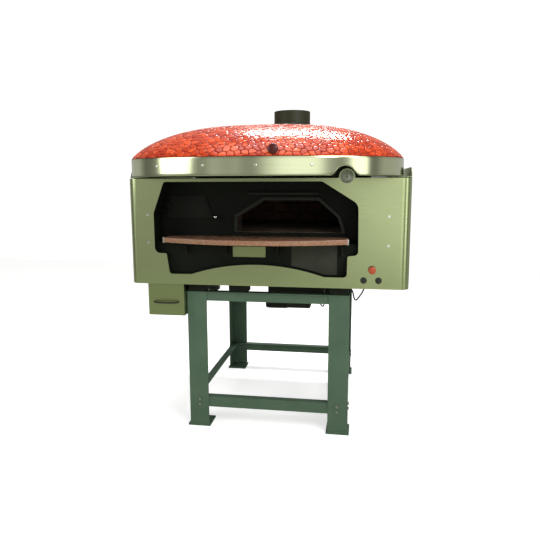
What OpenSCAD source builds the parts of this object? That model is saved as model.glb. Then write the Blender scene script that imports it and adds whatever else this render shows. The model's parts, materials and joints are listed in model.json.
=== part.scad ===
// Wood fired pizza oven with a turning stone deck, on a steel stand.
// Origin: floor level, under the middle of the oven. +Z up, the mouth faces -Y, millimetres.

/* [Front panel] */
// Width across the folded front panel
face_w = 1522; // [1500:1:1530]
// Height of the front panel's lower edge above the floor
face_z0 = 848; // [846:1:850]
// Height of the front panel's upper edge above the floor
face_z1 = 1425; // [1422:1:1428]
// Outer radius of the folds at the panel's two sides
fold_r = 50; // [40:1:55]
// Thickness of the steel sheets
sheet = 3; // [2:0.5:3]

/* [Rim and dome] */
// Half of the rim's width
rim_a = 735; // [730:1:738]
// Half of the rim's depth, front to back
rim_b = 839; // [835:1:839]
// Radius of the rim's bowed front and back
rim_bow_r = 1235; // [1200:5:1300]
// How square the rim's corners are
rim_square = 7; // [6:0.5:9]
// Height of the rim's lower edge
rim_z0 = 1435; // [1433:1:1437]
// Height of the rim's upper edge, where the dome starts
rim_z1 = 1520; // [1518:1:1524]
// Rise of the dome above the rim
dome_h = 197; // [190:1:200]
// Thickness of the dome's mosaic and render
dome_t = 22; // [15:1:25]

/* [Cooking chamber] */
// Inner radius of the chamber's two round ends
vault_r = 430; // [425:1:435]
// Thickness of the vault's firebrick
vault_t = 65; // [60:1:68]
// Inner height of the vault above the deck
vault_h = 345; // [340:1:350]
// Radius of the turning stone deck
deck_r = 410; // [400:1:412]
// Height of the deck's upper face, the cooking level
deck_z = 1125; // [1124:1:1126]

/* [Stand] */
// Distance over the outer faces of the legs, left to right
stand_w = 910; // [905:1:912]
// Width of each flange of the angle-iron legs
leg_w = 112; // [105:1:115]
// Thickness of the angle iron
leg_t = 6; // [5:0.5:7]
// Height of the stand's upper face
stand_z = 797; // [796:1:797]
// Depth of the stand's rails and braces
rail_h = 52; // [48:1:54]

/* [Flue and drive] */
// Outer radius of the flue spigot
flue_r = 100; // [98:1:101]
// Height of the top of the flue spigot
flue_z = 1790; // [1780:5:1800]
// Teeth on the deck's ring gear
gear_teeth = 72; // [72:4:72]
// Teeth on the motor's pinion
pinion_teeth = 18; // [18:1:18]
// Module of the two gears
gear_module = 4; // [4:0.5:4]

/* [Hidden] */

$fn = 64;
eps = 0.01;

// Front planes, from the outside inwards
face_y = -390;
apron_y = face_y + 45;
mouth_y = face_y + 150;
back_y = 838;
side_z1 = 1480;
half_w = face_w / 2;

// Where things stand in plan
deck_x = 115;
vault_y = 300;
vault_x = 190;
flue_y = -120;
rod_z = 1552;
dial_x = 431;
dial_z = 1432;
notch_r = 46;
lobe_r = 41;
hearth_z0 = 1060;
pan_z = face_z0 + 3;
shelf_z = 1107;
shelf_t = 27;
grate_x0 = -600;
grate_x1 = -475;
grate_y0 = 195;
grate_y1 = 405;

// The stand's corners
leg_x = stand_w / 2;
leg_y0 = -330;
leg_y1 = 790;
foot_t = 10;
brace_z0 = 115;
brace_h = 62;
anchor_x = 385;
anchor_y0 = -270;
anchor_y1 = 730;
bolt_r = 5;

// The drive under the floor
pitch_r = gear_teeth * gear_module / 2;
pinion_r = pinion_teeth * gear_module / 2;
motor_y = vault_y - pitch_r - pinion_r;
gear_z = 744;
gear_w = 25;
shaft_r = 25;
tray_z = 726;

// The controls on the front panel
estop_x = 569;
estop_z = 950;
start_x = 526;
selector_x = 603;
switch_z = 894;
switch_hole_r = 13;
rivet_x = 649;
joint = 0.6;
vault_split_y = 60;
rivet_heights = [1078, 1229];

// The fire door and its hinge
hinge_x = -576;
hinge_y = mouth_y - 14;
pin_r = 3;
knuckle_r = 5;
knuckle_h = 14;
running = 0.05;

// The ash drawer
drawer_x0 = -668;
drawer_x1 = -460;
drawer_z0 = 668;
drawer_z1 = 835;
drawer_y1 = 430;

// Outline of the opening in the front panel: x, z and corner radius
opening_corners = [[-552, 1408, 16], [305, 1408, 22], [492, 1291, 50], [496, 1024, 24],
    [440, 1020, 10], [438, 906, 20]];
opening_corners_left = [[-532, 905, 20], [-547, 1020, 10], [-614, 1020, 32], [-614, 1240, 30]];
arch_x = -45;
arch_half = 363;
arch_top = 965;
arch_z = 906;

// Outline of the mouth: x and z
mouth_points = [[-178, 1127], [-175, 1214], [-28, 1305], [275, 1305], [380, 1213], [402, 1150],
    [404, 1127]];

// Outline of the fire door: x and z
door_points = [[-580, 1205], [-580, 1240], [-560, 1329], [-364, 1329], [-318, 1217], [-318, 1205]];
fire_hole = [[-556, 1220], [-556, 1240], [-540, 1314], [-374, 1314], [-338, 1228], [-338, 1220]];

// Route of the motor cable, from its gland at the motor to the control box
cable_route = [[222, 120, 668], [245, 120, 667], [266, 106, 652], [280, 80, 643], [292, 48, 652],
    [297, 20, 690], [298, -5, 740], [306, -50, 792], [332, -110, 820], [380, -165, 826],
    [430, -190, 824], [466, -205, 802], [478, -228, 764], [488, -262, 760], [502, -298, 782],
    [520, -322, 814], [530, -330, 840], [530, -330, 858]];
cable_r = 4;
cable_sides = 8;
cable_steps = 3;

// ---------- helpers ----------

function unit(v) = v / norm(v);

function turn_between(a, b) = (b - a + 540) % 360 - 180;

// One corner of an outline, rounded by an arc
function round_corner(p, c, q, r) = let(u = unit(p - c), v = unit(q - c), half = acos(u * v) / 2,
    mid = c + unit(u + v) * r / sin(half), s = c + u * r / tan(half), e = c + v * r / tan(half),
    a0 = atan2(s[1] - mid[1], s[0] - mid[0]), a1 = atan2(e[1] - mid[1], e[0] - mid[0]),
    turn = turn_between(a0, a1), n = max(2, ceil(abs(turn) / 15)))
    [for (i = [0:n]) mid + r * [cos(a0 + turn * i / n), sin(a0 + turn * i / n)]];

// A closed outline whose corners carry their own radius
function rounded(c) = let(n = len(c)) [for (i = [0:n - 1]) each
    (c[i][2] > 0 ? round_corner([c[(i + n - 1) % n][0], c[(i + n - 1) % n][1]], [c[i][0], c[i][1]],
        [c[(i + 1) % n][0], c[(i + 1) % n][1]], c[i][2]) : [[c[i][0], c[i][1]]])];

// Twice the signed area, positive when an outline runs anticlockwise
function area2(p) = let(n = len(p))
    [for (i = [0:n - 1]) p[i][0] * p[(i + 1) % n][1] - p[(i + 1) % n][0] * p[i][1]]
    * [for (i = [0:n - 1]) 1];

// An outline grown outwards by d, or shrunk where d is negative
function grown(p, d) = let(n = len(p), side = sign(area2(p)))
    [for (i = [0:n - 1]) let(a = unit(p[i] - p[(i + n - 1) % n]), b = unit(p[(i + 1) % n] - p[i]),
        na = side * [a[1], -a[0]], nb = side * [b[1], -b[0]], m = unit(na + nb)) p[i] + m * d / (m * na)];

// Extrudes an x-z outline from y0 back to y1
module upright(y0, y1) {
    translate([0, y1, 0]) rotate([90, 0, 0]) linear_extrude(y1 - y0) children();
}

// A round bar or hole along Y, from y0 to y1
module bar_y(x, z, r, y0, y1) {
    translate([x, y0, z]) rotate([-90, 0, 0]) cylinder(r = r, h = y1 - y0);
}

module block(x0, x1, y0, y1, z0, z1) {
    translate([x0, y0, z0]) cube([x1 - x0, y1 - y0, z1 - z0]);
}

// An open-topped sheet tray with walls t thick
module tray(x0, x1, y0, y1, z0, z1, t) {
    difference() {
        block(x0, x1, y0, y1, z0, z1);
        block(x0 + t, x1 - t, y0 + t, y1 - t, z0 + t, z1 + 1);
    }
}

// ---------- outlines ----------

arch_rise = arch_top - arch_z;
arch_r = (arch_half * arch_half + arch_rise * arch_rise) / (2 * arch_rise);
arch_turn = asin(arch_half / arch_r);
arch_points = [for (i = [-8:8]) [arch_x - arch_r * sin(arch_turn * i / 8),
    arch_top - arch_r + arch_r * cos(arch_turn * i / 8), 0]];
opening = rounded(concat(opening_corners, arch_points, opening_corners_left));

// Distance from the rim's middle to its edge in one direction
function rim_reach(a) = let(c = max(abs(cos(a)), 0.001), s = abs(sin(a)), m = rim_bow_r - rim_b,
    flat = rim_a / c, bow = sqrt(s * s * m * m - m * m + rim_bow_r * rim_bow_r) - s * m)
    pow(pow(flat, -rim_square) + pow(bow, -rim_square), -1 / rim_square);
rim_steps = 72;
rim = [for (i = [0:rim_steps - 1]) rim_reach(i * 360 / rim_steps)
    * [cos(i * 360 / rim_steps), sin(i * 360 / rim_steps)]];

// Height of the dome's surface at a share of the way out to the rim
function dome_rise(s) = pow(max(0, 1 - pow(s, 2.8)), 0.76);

// The dome as rings of points, closed at the crown and open at the rim
dome_rings = 9;
function dome_points(outline, h) = concat([[0, 0, rim_z1 + h]], [for (i = [1:dome_rings])
    let(s = sin(90 * i / dome_rings)) each [for (p = outline) [p[0] * s, p[1] * s, rim_z1 + h * dome_rise(s)]]]);

// ---------- stand ----------

// Places its child, drawn for the front right corner, at all four corners
module at_corners() {
    mid_y = (leg_y0 + leg_y1) / 2;
    for (sx = [0, 1], sy = [0, 1])
        translate([0, mid_y, 0]) mirror([sx, 0, 0]) mirror([0, sy, 0]) translate([0, -mid_y, 0]) children();
}

module leg_corner() {
    difference() {
        block(leg_x - leg_w, leg_x, leg_y0, leg_y0 + leg_w, foot_t, stand_z - leg_t);
        block(leg_x - leg_w - 1, leg_x - leg_t, leg_y0 + leg_t, leg_y0 + leg_w + 1, 0, stand_z);
    }
}

// The bolt axes of one corner, through the leg and into the braces
module at_bolts() {
    for (z = [brace_z0 + 16, brace_z0 + 46]) {
        translate([leg_x - 60, leg_y0, z]) rotate([90, 0, 0]) children();
        translate([leg_x, leg_y0 + 60, z]) rotate([0, 90, 0]) children();
    }
}

module bolt_holes() {
    at_corners() at_bolts() translate([0, 0, -20]) cylinder(r = bolt_r, h = 30);
}

module stand_legs() {
    color("#5c7860") difference() {
        at_corners() leg_corner();
        bolt_holes();
    }
}

module foot_plates() {
    color("#54705a") at_corners() difference() {
        block(leg_x - leg_w - 8, leg_x + 10, leg_y0 - 10, leg_y0 + leg_w + 8, 0, foot_t);
        translate([anchor_x, anchor_y0, -1]) cylinder(r = 7, h = foot_t + 2);
    }
}

// An angle-iron bar between two legs, upright face outside, flange inwards
module angle_front(x0, x1, y, z0, h, flange) {
    block(x0, x1, y, y + leg_t, z0, z0 + h);
    block(x0, x1, y, y + flange, z0 + h - leg_t, z0 + h);
}

module rails_at(z0, h, inset) {
    flange = 45;
    x = leg_x - leg_t - inset;
    y0 = leg_y0 + leg_t + inset;
    y1 = leg_y1 - leg_t - inset;
    angle_front(-x, x, y0, z0, h, flange);
    translate([0, y0 + y1, 0]) mirror([0, 1, 0]) angle_front(-x, x, y0, z0, h, flange);
    for (sx = [0, 1]) mirror([sx, 0, 0]) {
        block(x - leg_t, x, y0 + leg_t, y1 - leg_t, z0, z0 + h - leg_t);
        block(x - flange, x, y0 + flange, y1 - flange, z0 + h - leg_t, z0 + h);
    }
}

module top_rails() {
    color("#5c6d5b") rails_at(stand_z - rail_h, rail_h - leg_t, 0);
    color("#5c6d5b") difference() {
        block(-leg_x, leg_x, leg_y0, leg_y1, stand_z - leg_t, stand_z);
        block(-leg_x + 50, leg_x - 50, leg_y0 + 50, leg_y1 - 50, 0, 2 * stand_z);
    }
}

module lower_braces() {
    color("#4a624d") difference() {
        rails_at(brace_z0, brace_h, 0);
        bolt_holes();
    }
}

module stand_bolts() {
    head_r = 9;
    head_h = 6;
    shank = 12;
    color("#8a8f8a") at_corners() at_bolts() {
        cylinder(r = head_r, h = head_h, $fn = 6);
        translate([0, 0, -shank]) cylinder(r = bolt_r, h = shank);
    }
}

module spacer_blocks() {
    color("#20241c") for (x = [[-447, -347], [-325, -296], [-212, -110], [347, 447]], y = [-328, 690])
        block(x[0], x[1], y, y + 98, stand_z, face_z0 + 3);
}

// ---------- body shells ----------

module floor_pan() {
    color("#3c4038") difference() {
        union() {
            block(-half_w + 8, half_w - 8, face_y + fold_r, back_y - 6, pan_z, pan_z + sheet);
            block(-half_w + fold_r, half_w - fold_r, face_y + 8, face_y + fold_r + 1, pan_z, pan_z + sheet);
        }
        translate([deck_x, vault_y, pan_z - 1]) cylinder(r = 56, h = 9);
        block(grate_x0 - 1, grate_x1 + 1, grate_y0 - 1, grate_y1 + 1, pan_z - 1, pan_z + 9);
        translate([530, -330, pan_z - 1]) cylinder(r = 14, h = 9);
    }
}

// Outline of the chamber: two round ends joined by a straight middle
module chamber_plan(r) {
    translate([-vault_x, 0]) circle(r = r);
    translate([vault_x, 0]) circle(r = r);
    translate([-vault_x, -r]) square([2 * vault_x, 2 * r]);
}

module floor_insulation() {
    color("#c8c2b0") difference() {
        translate([0, vault_y, pan_z + sheet]) linear_extrude(hearth_z0 - pan_z - sheet)
            chamber_plan(vault_r + vault_t);
        translate([deck_x, vault_y, pan_z]) cylinder(r = 57, h = 300);
        block(grate_x0 - 1, grate_x1 + 1, grate_y0 - 1, grate_y1 + 1, pan_z, hearth_z0 + 1);
    }
}

module hearth_floor() {
    color("#a08870") difference() {
        translate([0, vault_y, hearth_z0]) linear_extrude(deck_z - hearth_z0) chamber_plan(vault_r + vault_t);
        translate([deck_x, vault_y, hearth_z0 - 1]) cylinder(r = deck_r + 4, h = 100, $fn = 128);
        block(grate_x0, grate_x1, grate_y0, grate_y1, hearth_z0 - 1, deck_z + 1);
    }
}

// Plan of the front panel: a flat sheet folded back at both sides
module facade_plan() {
    translate([-half_w + fold_r, face_y]) square([face_w - 2 * fold_r, sheet]);
    for (s = [0, 1]) mirror([s, 0]) translate([half_w - fold_r, face_y + fold_r]) {
        difference() {
            circle(r = fold_r);
            circle(r = fold_r - sheet);
            translate([-2 * fold_r, -2 * fold_r]) square([2 * fold_r, 4 * fold_r]);
            translate([-2 * fold_r, 0]) square([4 * fold_r, 2 * fold_r]);
        }
        translate([fold_r - sheet, 0]) square([sheet, 40]);
    }
}

module facade_panel() {
    color("#b4bca0") difference() {
        union() {
            translate([0, 0, face_z0]) linear_extrude(face_z1 - face_z0) facade_plan();
            bar_y(dial_x, dial_z, lobe_r, face_y, face_y + sheet);
        }
        upright(face_y - 5, face_y + 10) polygon(opening);
        bar_y(estop_x, estop_z, switch_hole_r, face_y - 5, face_y + 10);
        bar_y(start_x, switch_z, switch_hole_r, face_y - 5, face_y + 10);
        bar_y(selector_x, switch_z, switch_hole_r, face_y - 5, face_y + 10);
        bar_y(dial_x, dial_z, 7, face_y - 5, face_y + 10);
        for (x = [-rivet_x, rivet_x], z = rivet_heights) bar_y(x, z, 3, face_y - 5, face_y + 10);
    }
}

module side_panel() {
    y0 = face_y + fold_r + 41;
    profile = rounded([[y0, face_z0, 0], [back_y - 4, face_z0, 0], [back_y - 4, side_z1, 20],
        [y0 - 12, side_z1, 50], [y0 - 40, face_z1 + 2, 0], [y0, face_z1 + 2, 0]]);
    translate([half_w - sheet, 0, 0]) rotate([90, 0, 90]) linear_extrude(sheet) polygon(profile);
}

module side_panel_left() {
    color("#a8b094") mirror([1, 0, 0]) side_panel();
}

module side_panel_right() {
    color("#a8b094") side_panel();
}

module rear_panel() {
    color("#a8b094") difference() {
        block(-half_w + 4, half_w - 4, back_y - sheet, back_y, face_z0, rim_z0 - 5);
        bar_y(620, 900, 10, back_y - 10, back_y + 10);
    }
}

// Sheet that closes the body around the foot of the rim
module top_cover() {
    color("#a8b094") difference() {
        block(-half_w + 4, half_w - 4, face_y + fold_r, back_y - sheet - 1, rim_z0 - 5, rim_z0 - 2);
        translate([0, 0, rim_z0 - 10]) linear_extrude(20) polygon(grown(rim, -60));
    }
}

module recess_surround() {
    color("#1c2018") upright(face_y + sheet, mouth_y) difference() {
        polygon(grown(opening, 4));
        polygon(grown(opening, 1));
    }
}

// The plate is cut in pieces that butt where the mouth's outline turns
module mouth_plate() {
    color("#22261e") difference() {
        upright(mouth_y, mouth_y + sheet) difference() {
            polygon(grown(opening, 4));
            polygon(mouth_points);
            polygon(fire_hole);
        }
        joints_at([-28, 275], mouth_y - 1, mouth_y + 5, 1304, 1450);
        block(-330, -174, mouth_y - 1, mouth_y + 5, 1214 - joint / 2, 1214 + joint / 2);
        for (z = [1150, 1213]) block(379, 520, mouth_y - 1, mouth_y + 5, z - joint / 2, z + joint / 2);
    }
}

module mouth_frame() {
    color("#3a3e36") difference() {
        union() {
            upright(mouth_y - 14, mouth_y) polygon(grown(mouth_points, 16));
            block(-110, 276, mouth_y - 24, mouth_y, 1338, 1346);
        }
        upright(mouth_y - 20, mouth_y + 1) polygon(mouth_points);
        block(-300, 500, mouth_y - 20, mouth_y + 1, 1090, 1127);
    }
}

module chamber_solid(r, h) {
    profile = [for (i = [0:12]) [max(0, r * cos(i * 7.5)), h * sin(i * 7.5)]];
    translate([0, vault_y, deck_z]) {
        for (x = [-vault_x, vault_x])
            translate([x, 0, 0]) rotate_extrude($fn = 96) polygon(concat([[0, 0]], profile));
        translate([-vault_x, 0, 0]) rotate([90, 0, 90]) linear_extrude(2 * vault_x)
            polygon(concat(profile, [for (i = [12:-1:0]) [-profile[i][0], profile[i][1]]]));
    }
}

module throat_cuts() {
    chamber_solid(vault_r + vault_t + 1, vault_h + vault_t + 1);
    translate([deck_x, flue_y, deck_z]) cylinder(r = flue_r + 2, h = 600);
}

// Brick passages from the front plate into the chamber, one for the mouth and one for the fire
module firebrick_throats() {
    color("#8c6e58") {
        difference() {
            upright(mouth_y + sheet, -40) polygon([[-225, 1130], [-225, 1225], [-50, 1345], [300, 1345],
                [425, 1240], [450, 1130]]);
            upright(mouth_y, 0) polygon(mouth_points);
            block(-178, 404, mouth_y, 0, 1120, 1140);
            throat_cuts();
        }
        difference() {
            upright(mouth_y + sheet, 20) polygon(grown(fire_hole, 40));
            upright(mouth_y, 40) polygon(fire_hole);
            throat_cuts();
        }
    }
}

module apron_panel() {
    color("#181c14") intersection() {
        upright(apron_y, apron_y + sheet) polygon(opening);
        block(-700, 700, apron_y - 1, apron_y + 10, 850, shelf_z - shelf_t - 1);
    }
}

module access_cover() {
    color("#34362a") intersection() {
        block(140, 385, apron_y - 2, apron_y, 880, shelf_z - shelf_t - 4);
        upright(apron_y - 3, apron_y + 1) polygon(grown(opening, -6));
    }
}

module label_plate() {
    color("#aab490") difference() {
        block(-183, -2, apron_y - 2, apron_y, 1001, 1058);
        for (x = [-176, -9], z = [1008, 1051]) bar_y(x, z, 2, apron_y - 5, apron_y + 5);
    }
}

module stone_shelf() {
    tip_left = -565;
    tip_right = 445;
    bow = 118;
    half = (tip_right - tip_left) / 2;
    r = (half * half + bow * bow) / (2 * bow);
    turn = asin(half / r);
    mid = (tip_left + tip_right) / 2;
    front = [for (i = [-16:16]) [mid + r * sin(turn * i / 16), face_y - bow + r - r * cos(turn * i / 16)]];
    color("#a2674a") translate([0, 0, shelf_z - shelf_t]) linear_extrude(shelf_t)
        polygon(concat(front, [[tip_right, mouth_y - 26], [tip_left, mouth_y - 26]]));
}

module shelf_brackets() {
    color("#22261e") for (x = [-440, -214, 70, 412]) {
        block(x - 3, x + 3, face_y + 10, apron_y, 1020, shelf_z - shelf_t);
        block(x - 20, x + 20, face_y + 10, apron_y - 1, shelf_z - shelf_t - 4, shelf_z - shelf_t);
        block(x - 20, x + 20, apron_y + sheet, mouth_y, shelf_z - shelf_t - 4, shelf_z - shelf_t);
    }
}

// ---------- hood, rim and dome ----------

// The bell-shaped way from the rim to the dial, flared at its foot and grown by grow all round
module dial_way(grow, y0, y1) {
    bar_y(dial_x, dial_z, notch_r + grow, y0, y1);
    upright(y0, y1) polygon([[dial_x - 70 - grow, rim_z0 - 2], [dial_x - 53 - grow, rim_z0 + 6],
        [dial_x - 42 - grow, rim_z0 + 18], [dial_x + 42 + grow, rim_z0 + 18],
        [dial_x + 53 + grow, rim_z0 + 6], [dial_x + 70 + grow, rim_z0 - 2]]);
}

module hood_soffit() {
    color("#2a2e24") difference() {
        union() {
            translate([0, 0, rim_z0]) linear_extrude(sheet) intersection() {
                polygon(grown(rim, -sheet - 1));
                translate([-800, -900]) square([1600, 900 + face_y]);
            }
            intersection() {
                dial_way(12, -rim_b, face_y + sheet + 1);
                translate([0, 0, rim_z0]) linear_extrude(100) polygon(grown(rim, -sheet - 1));
            }
        }
        dial_way(9, -rim_b - 1, face_y + 5);
    }
    color("#2a2e24") difference() {
        block(dial_x - 84, dial_x + 84, face_y + sheet + 1, face_y + 2 * sheet + 1, rim_z0, side_z1 + 12);
        bar_y(dial_x, dial_z, 7.5, face_y, face_y + 20);
    }
}

module rim_band() {
    color("#c2ce99") difference() {
        translate([0, 0, rim_z0]) linear_extrude(rim_z1 - rim_z0) difference() {
            polygon(rim);
            polygon(grown(rim, -sheet));
        }
        dial_way(0, -rim_b - 1, -rim_b + 200);
        at_rim_screws() translate([0, 0, -10]) cylinder(r = 3, h = 20);
    }
}

// Places its child on the rim, square to its surface, at each screw
module at_rim_screws() {
    for (x = [-456, -209, 39, 285], s = [-1, 1]) {
        a = atan2(s * sqrt(rim_bow_r * rim_bow_r - x * x) - s * (rim_bow_r - rim_b), x);
        translate([rim_reach(a) * cos(a), rim_reach(a) * sin(a), rim_z0 + 46])
            rotate([s * -90, 0, -s * asin(x / rim_bow_r)]) children();
    }
}

module rim_screws() {
    color("#d8dcc8") at_rim_screws() {
        translate([0, 0, -8]) cylinder(r = 3, h = 9);
        cylinder(r = 6.5, h = 2.5);
    }
}

module facade_rivets() {
    color("#c8ccb8") for (x = [-rivet_x, rivet_x], z = rivet_heights) {
        bar_y(x, z, 3, face_y - 1, face_y + 8);
        bar_y(x, z, 7, face_y - 2.5, face_y);
    }
}

module dome_shell() {
    outer = dome_points(rim, dome_h);
    inner = dome_points(grown(rim, -dome_t), dome_h - dome_t);
    n = rim_steps;
    off = len(outer);
    function at(base, i, j) = base + 1 + (i - 1) * n + j % n;
    faces = concat(
        [for (j = [0:n - 1]) [0, at(0, 1, j + 1), at(0, 1, j)]],
        [for (i = [1:dome_rings - 1], j = [0:n - 1]) each
            [[at(0, i, j), at(0, i, j + 1), at(0, i + 1, j + 1)], [at(0, i, j), at(0, i + 1, j + 1), at(0, i + 1, j)]]],
        [for (j = [0:n - 1]) [off, at(off, 1, j), at(off, 1, j + 1)]],
        [for (i = [1:dome_rings - 1], j = [0:n - 1]) each
            [[at(off, i, j), at(off, i + 1, j + 1), at(off, i, j + 1)],
             [at(off, i, j), at(off, i + 1, j), at(off, i + 1, j + 1)]]],
        [for (j = [0:n - 1]) each [[at(0, dome_rings, j), at(0, dome_rings, j + 1), at(off, dome_rings, j + 1)],
            [at(0, dome_rings, j), at(off, dome_rings, j + 1), at(off, dome_rings, j)]]]);
    color("#d8582e") difference() {
        polyhedron(points = concat(outer, inner), faces = faces);
        translate([deck_x, flue_y, rim_z1]) cylinder(r = flue_r + 2, h = 400);
        bar_y(deck_x, rod_z, 9, -rim_b - 10, -rim_b + 150);
    }
}

module insulation_blanket() {
    blanket = 30;
    color("#d6d0bc") difference() {
        chamber_solid(vault_r + vault_t + blanket, vault_h + vault_t + blanket);
        chamber_solid(vault_r + vault_t + 1, vault_h + vault_t + 1);
        block(-235, 460, mouth_y, 0, 1100, 1360);
        block(-610, -290, mouth_y, 30, 1100, 1360);
        translate([deck_x, flue_y, deck_z]) cylinder(r = flue_r + 26, h = 600);
    }
}

// Thin joints between cast or cut pieces, upright, at each x, from y0 to y1 and z0 to z1
module joints_at(xs, y0, y1, z0, z1) {
    for (x = xs) block(x - joint / 2, x + joint / 2, y0, y1, z0, z1);
}

// The vault is cast in segments: six across the front and one behind
module vault() {
    color("#96785e") difference() {
        chamber_solid(vault_r + vault_t, vault_h + vault_t);
        translate([0, 0, -eps]) chamber_solid(vault_r, vault_h);
        upright(mouth_y - 10, 100) polygon(mouth_points);
        block(-178, 404, mouth_y, 100, 1100, 1140);
        upright(mouth_y - 10, 100) polygon(fire_hole);
        joints_at([-556, -448, -338, -178, -28, 275, 402], -300, vault_split_y, 1100, 1600);
        block(-800, 800, vault_split_y - joint / 2, vault_split_y + joint / 2, 1100, 1600);
    }
}

// ---------- flue and damper ----------

module flue_base() {
    color("#4a4e44") difference() {
        translate([deck_x, flue_y, 1346]) cylinder(r = flue_r + 16, h = 154);
        translate([deck_x, flue_y, 1300]) cylinder(r = flue_r + 1, h = 300);
        chamber_solid(vault_r + vault_t + 1, vault_h + vault_t + 1);
    }
}

module flue_pipe() {
    spigot_z = 1728;
    color("#39412c") difference() {
        union() {
            translate([deck_x, flue_y, 1450]) cylinder(r = flue_r - 1, h = spigot_z - 1450);
            translate([deck_x, flue_y, spigot_z]) cylinder(r = flue_r, h = flue_z - spigot_z);
        }
        translate([deck_x, flue_y, 1400]) cylinder(r = flue_r - 4, h = 500);
        bar_y(deck_x, rod_z, 6 + running, flue_y - 150, flue_y + 150);
        chamber_solid(vault_r + vault_t + 1, vault_h + vault_t + 1);
    }
}

module damper_rod() {
    color("#70746c") bar_y(deck_x, rod_z, 6, -rim_b + 22, flue_y + flue_r + 8);
}

module damper_blade() {
    color("#50544c") difference() {
        union() {
            translate([deck_x, flue_y, rod_z - 1.5]) cylinder(r = flue_r - 9, h = 3);
            bar_y(deck_x, rod_z, 9, flue_y - 70, flue_y + 70);
        }
        bar_y(deck_x, rod_z, 6, flue_y - 100, flue_y + 100);
    }
}

module damper_knob() {
    color("#5c1306") translate([deck_x, -rim_b + 22, rod_z]) rotate([90, 0, 0]) rotate_extrude()
        polygon([[0, 0], [10, 0], [12, 6], [22, 9], [24, 16], [20, 21], [0, 22]]);
}

// ---------- fire door ----------

// Rings round the hinge axis, at the heights given
module knuckles(heights, r) {
    for (z = heights) translate([hinge_x, hinge_y, z]) cylinder(r = r, h = knuckle_h);
}

module fire_door() {
    heights = [1222, 1262];
    color("#262a22") difference() {
        union() {
            upright(mouth_y - 8, mouth_y - 2) polygon(door_points);
            upright(mouth_y - 11, mouth_y - 5) polygon(fire_hole);
            knuckles(heights, knuckle_r);
            for (z = heights) block(hinge_x, hinge_x + 26, mouth_y - 15, mouth_y - 7, z, z + knuckle_h);
        }
        translate([hinge_x, hinge_y, 1200]) cylinder(r = pin_r + running, h = 120);
    }
}

module door_hinge() {
    heights = [1207, 1277];
    color("#4a4e46") {
        translate([hinge_x, hinge_y, 1205]) cylinder(r = pin_r, h = 88);
        knuckles(heights, knuckle_r);
        for (z = heights) {
            block(hinge_x - 16, hinge_x, mouth_y - 17, mouth_y - 10, z, z + knuckle_h);
            block(hinge_x - 16, hinge_x - 8, mouth_y - 12, mouth_y, z, z + knuckle_h);
        }
    }
}

module door_knob() {
    color("#c8ccc4") {
        bar_y(-297, 1213, 4, mouth_y - 24, mouth_y - 11);
        translate([-297, mouth_y - 34, 1213]) sphere(r = 12);
        block(-340, -291, mouth_y - 16, mouth_y - 8, 1208, 1218);
    }
}

// ---------- fire, ash and drawer ----------

module fire_grate() {
    gap = 2;
    color("#2c2c2a") {
        difference() {
            block(grate_x0 + gap, grate_x1 - gap, grate_y0 + gap, grate_y1 - gap, deck_z - 24, deck_z);
            block(grate_x0 + 12, grate_x1 - 12, grate_y0 + 12, grate_y1 - 12, deck_z - 30, deck_z + 1);
        }
        for (i = [0:4]) block(grate_x0 + 24 + i * 18, grate_x0 + 31 + i * 18, grate_y0 + 11, grate_y1 - 11,
            deck_z - 20, deck_z - 4);
    }
}

module ash_chute() {
    z0 = drawer_z1 + 4;
    color("#5a5e54") difference() {
        block(grate_x0 + 2, grate_x1 - 2, grate_y0 + 2, grate_y1 - 2, z0, deck_z - 26);
        block(grate_x0 + 5, grate_x1 - 5, grate_y0 + 5, grate_y1 - 5, z0 - 1, deck_z);
    }
}

module drawer_housing() {
    color("#7a8462") difference() {
        block(drawer_x0, drawer_x1, face_y + 22, drawer_y1 + 12, drawer_z0 - 4, pan_z);
        block(drawer_x0 + 2, drawer_x1 - 2, face_y + 10, drawer_y1 + 10, drawer_z0 - 2, pan_z - 2);
        block(grate_x0, grate_x1, grate_y0, grate_y1, pan_z - 5, pan_z + 5);
    }
}

module ash_drawer() {
    x0 = drawer_x0 + 5;
    x1 = drawer_x1 - 5;
    color("#738154") {
        tray(x0, x1, face_y + 22, drawer_y1, drawer_z0 + 1, drawer_z1 - 8, 2);
        block(drawer_x0, drawer_x1, face_y + 18, face_y + 21.7, drawer_z0, face_z0 - 3);
        block(x0, x1, face_y + 21, face_y + 24, drawer_z0 + 1, drawer_z1 - 8);
    }
}

module drawer_handle() {
    y = face_y + 18;
    z = 742;
    r = 5;
    color("#1e221a") for (s = [-1, 1]) translate([(drawer_x0 + drawer_x1) / 2, 0, 0]) {
        bar_y(s * 70, z, r, y - 26, y);
        translate([s * 70, y - 26, z]) sphere(r = r);
        translate([min(0, s * 70), y - 26, z]) rotate([0, 90, 0]) cylinder(r = r, h = 70);
    }
}

// ---------- turning deck and drive ----------

module deck_stone() {
    color("#b4a48c") difference() {
        translate([deck_x, vault_y, deck_z - 46]) cylinder(r = deck_r, h = 46, $fn = 128);
        for (a = [0:90:270]) translate([deck_x, vault_y, deck_z - 47]) rotate(a) translate([200, 0, 0])
            cylinder(r = 8.05, h = 20);
    }
}

module deck_carrier() {
    z = deck_z - 54;
    color("#787c74") translate([deck_x, vault_y, 0]) {
        translate([0, 0, z]) cylinder(r = deck_r - 15, h = 8, $fn = 96);
        translate([0, 0, z - 24]) cylinder(r = 42, h = 24);
        translate([0, 0, gear_z - 12]) cylinder(r = shaft_r, h = z - gear_z + 12);
        for (a = [0:90:270]) rotate(a) translate([200, 0, z]) cylinder(r = 8, h = 26);
    }
}

module bearing_housing() {
    color("#5c605a") difference() {
        union() {
            translate([deck_x, vault_y, 782]) cylinder(r = 48, h = 258);
            translate([deck_x, vault_y, pan_z - 12]) cylinder(r = 80, h = 12);
        }
        translate([deck_x, vault_y, 780]) cylinder(r = 36, h = 262);
    }
}

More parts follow.
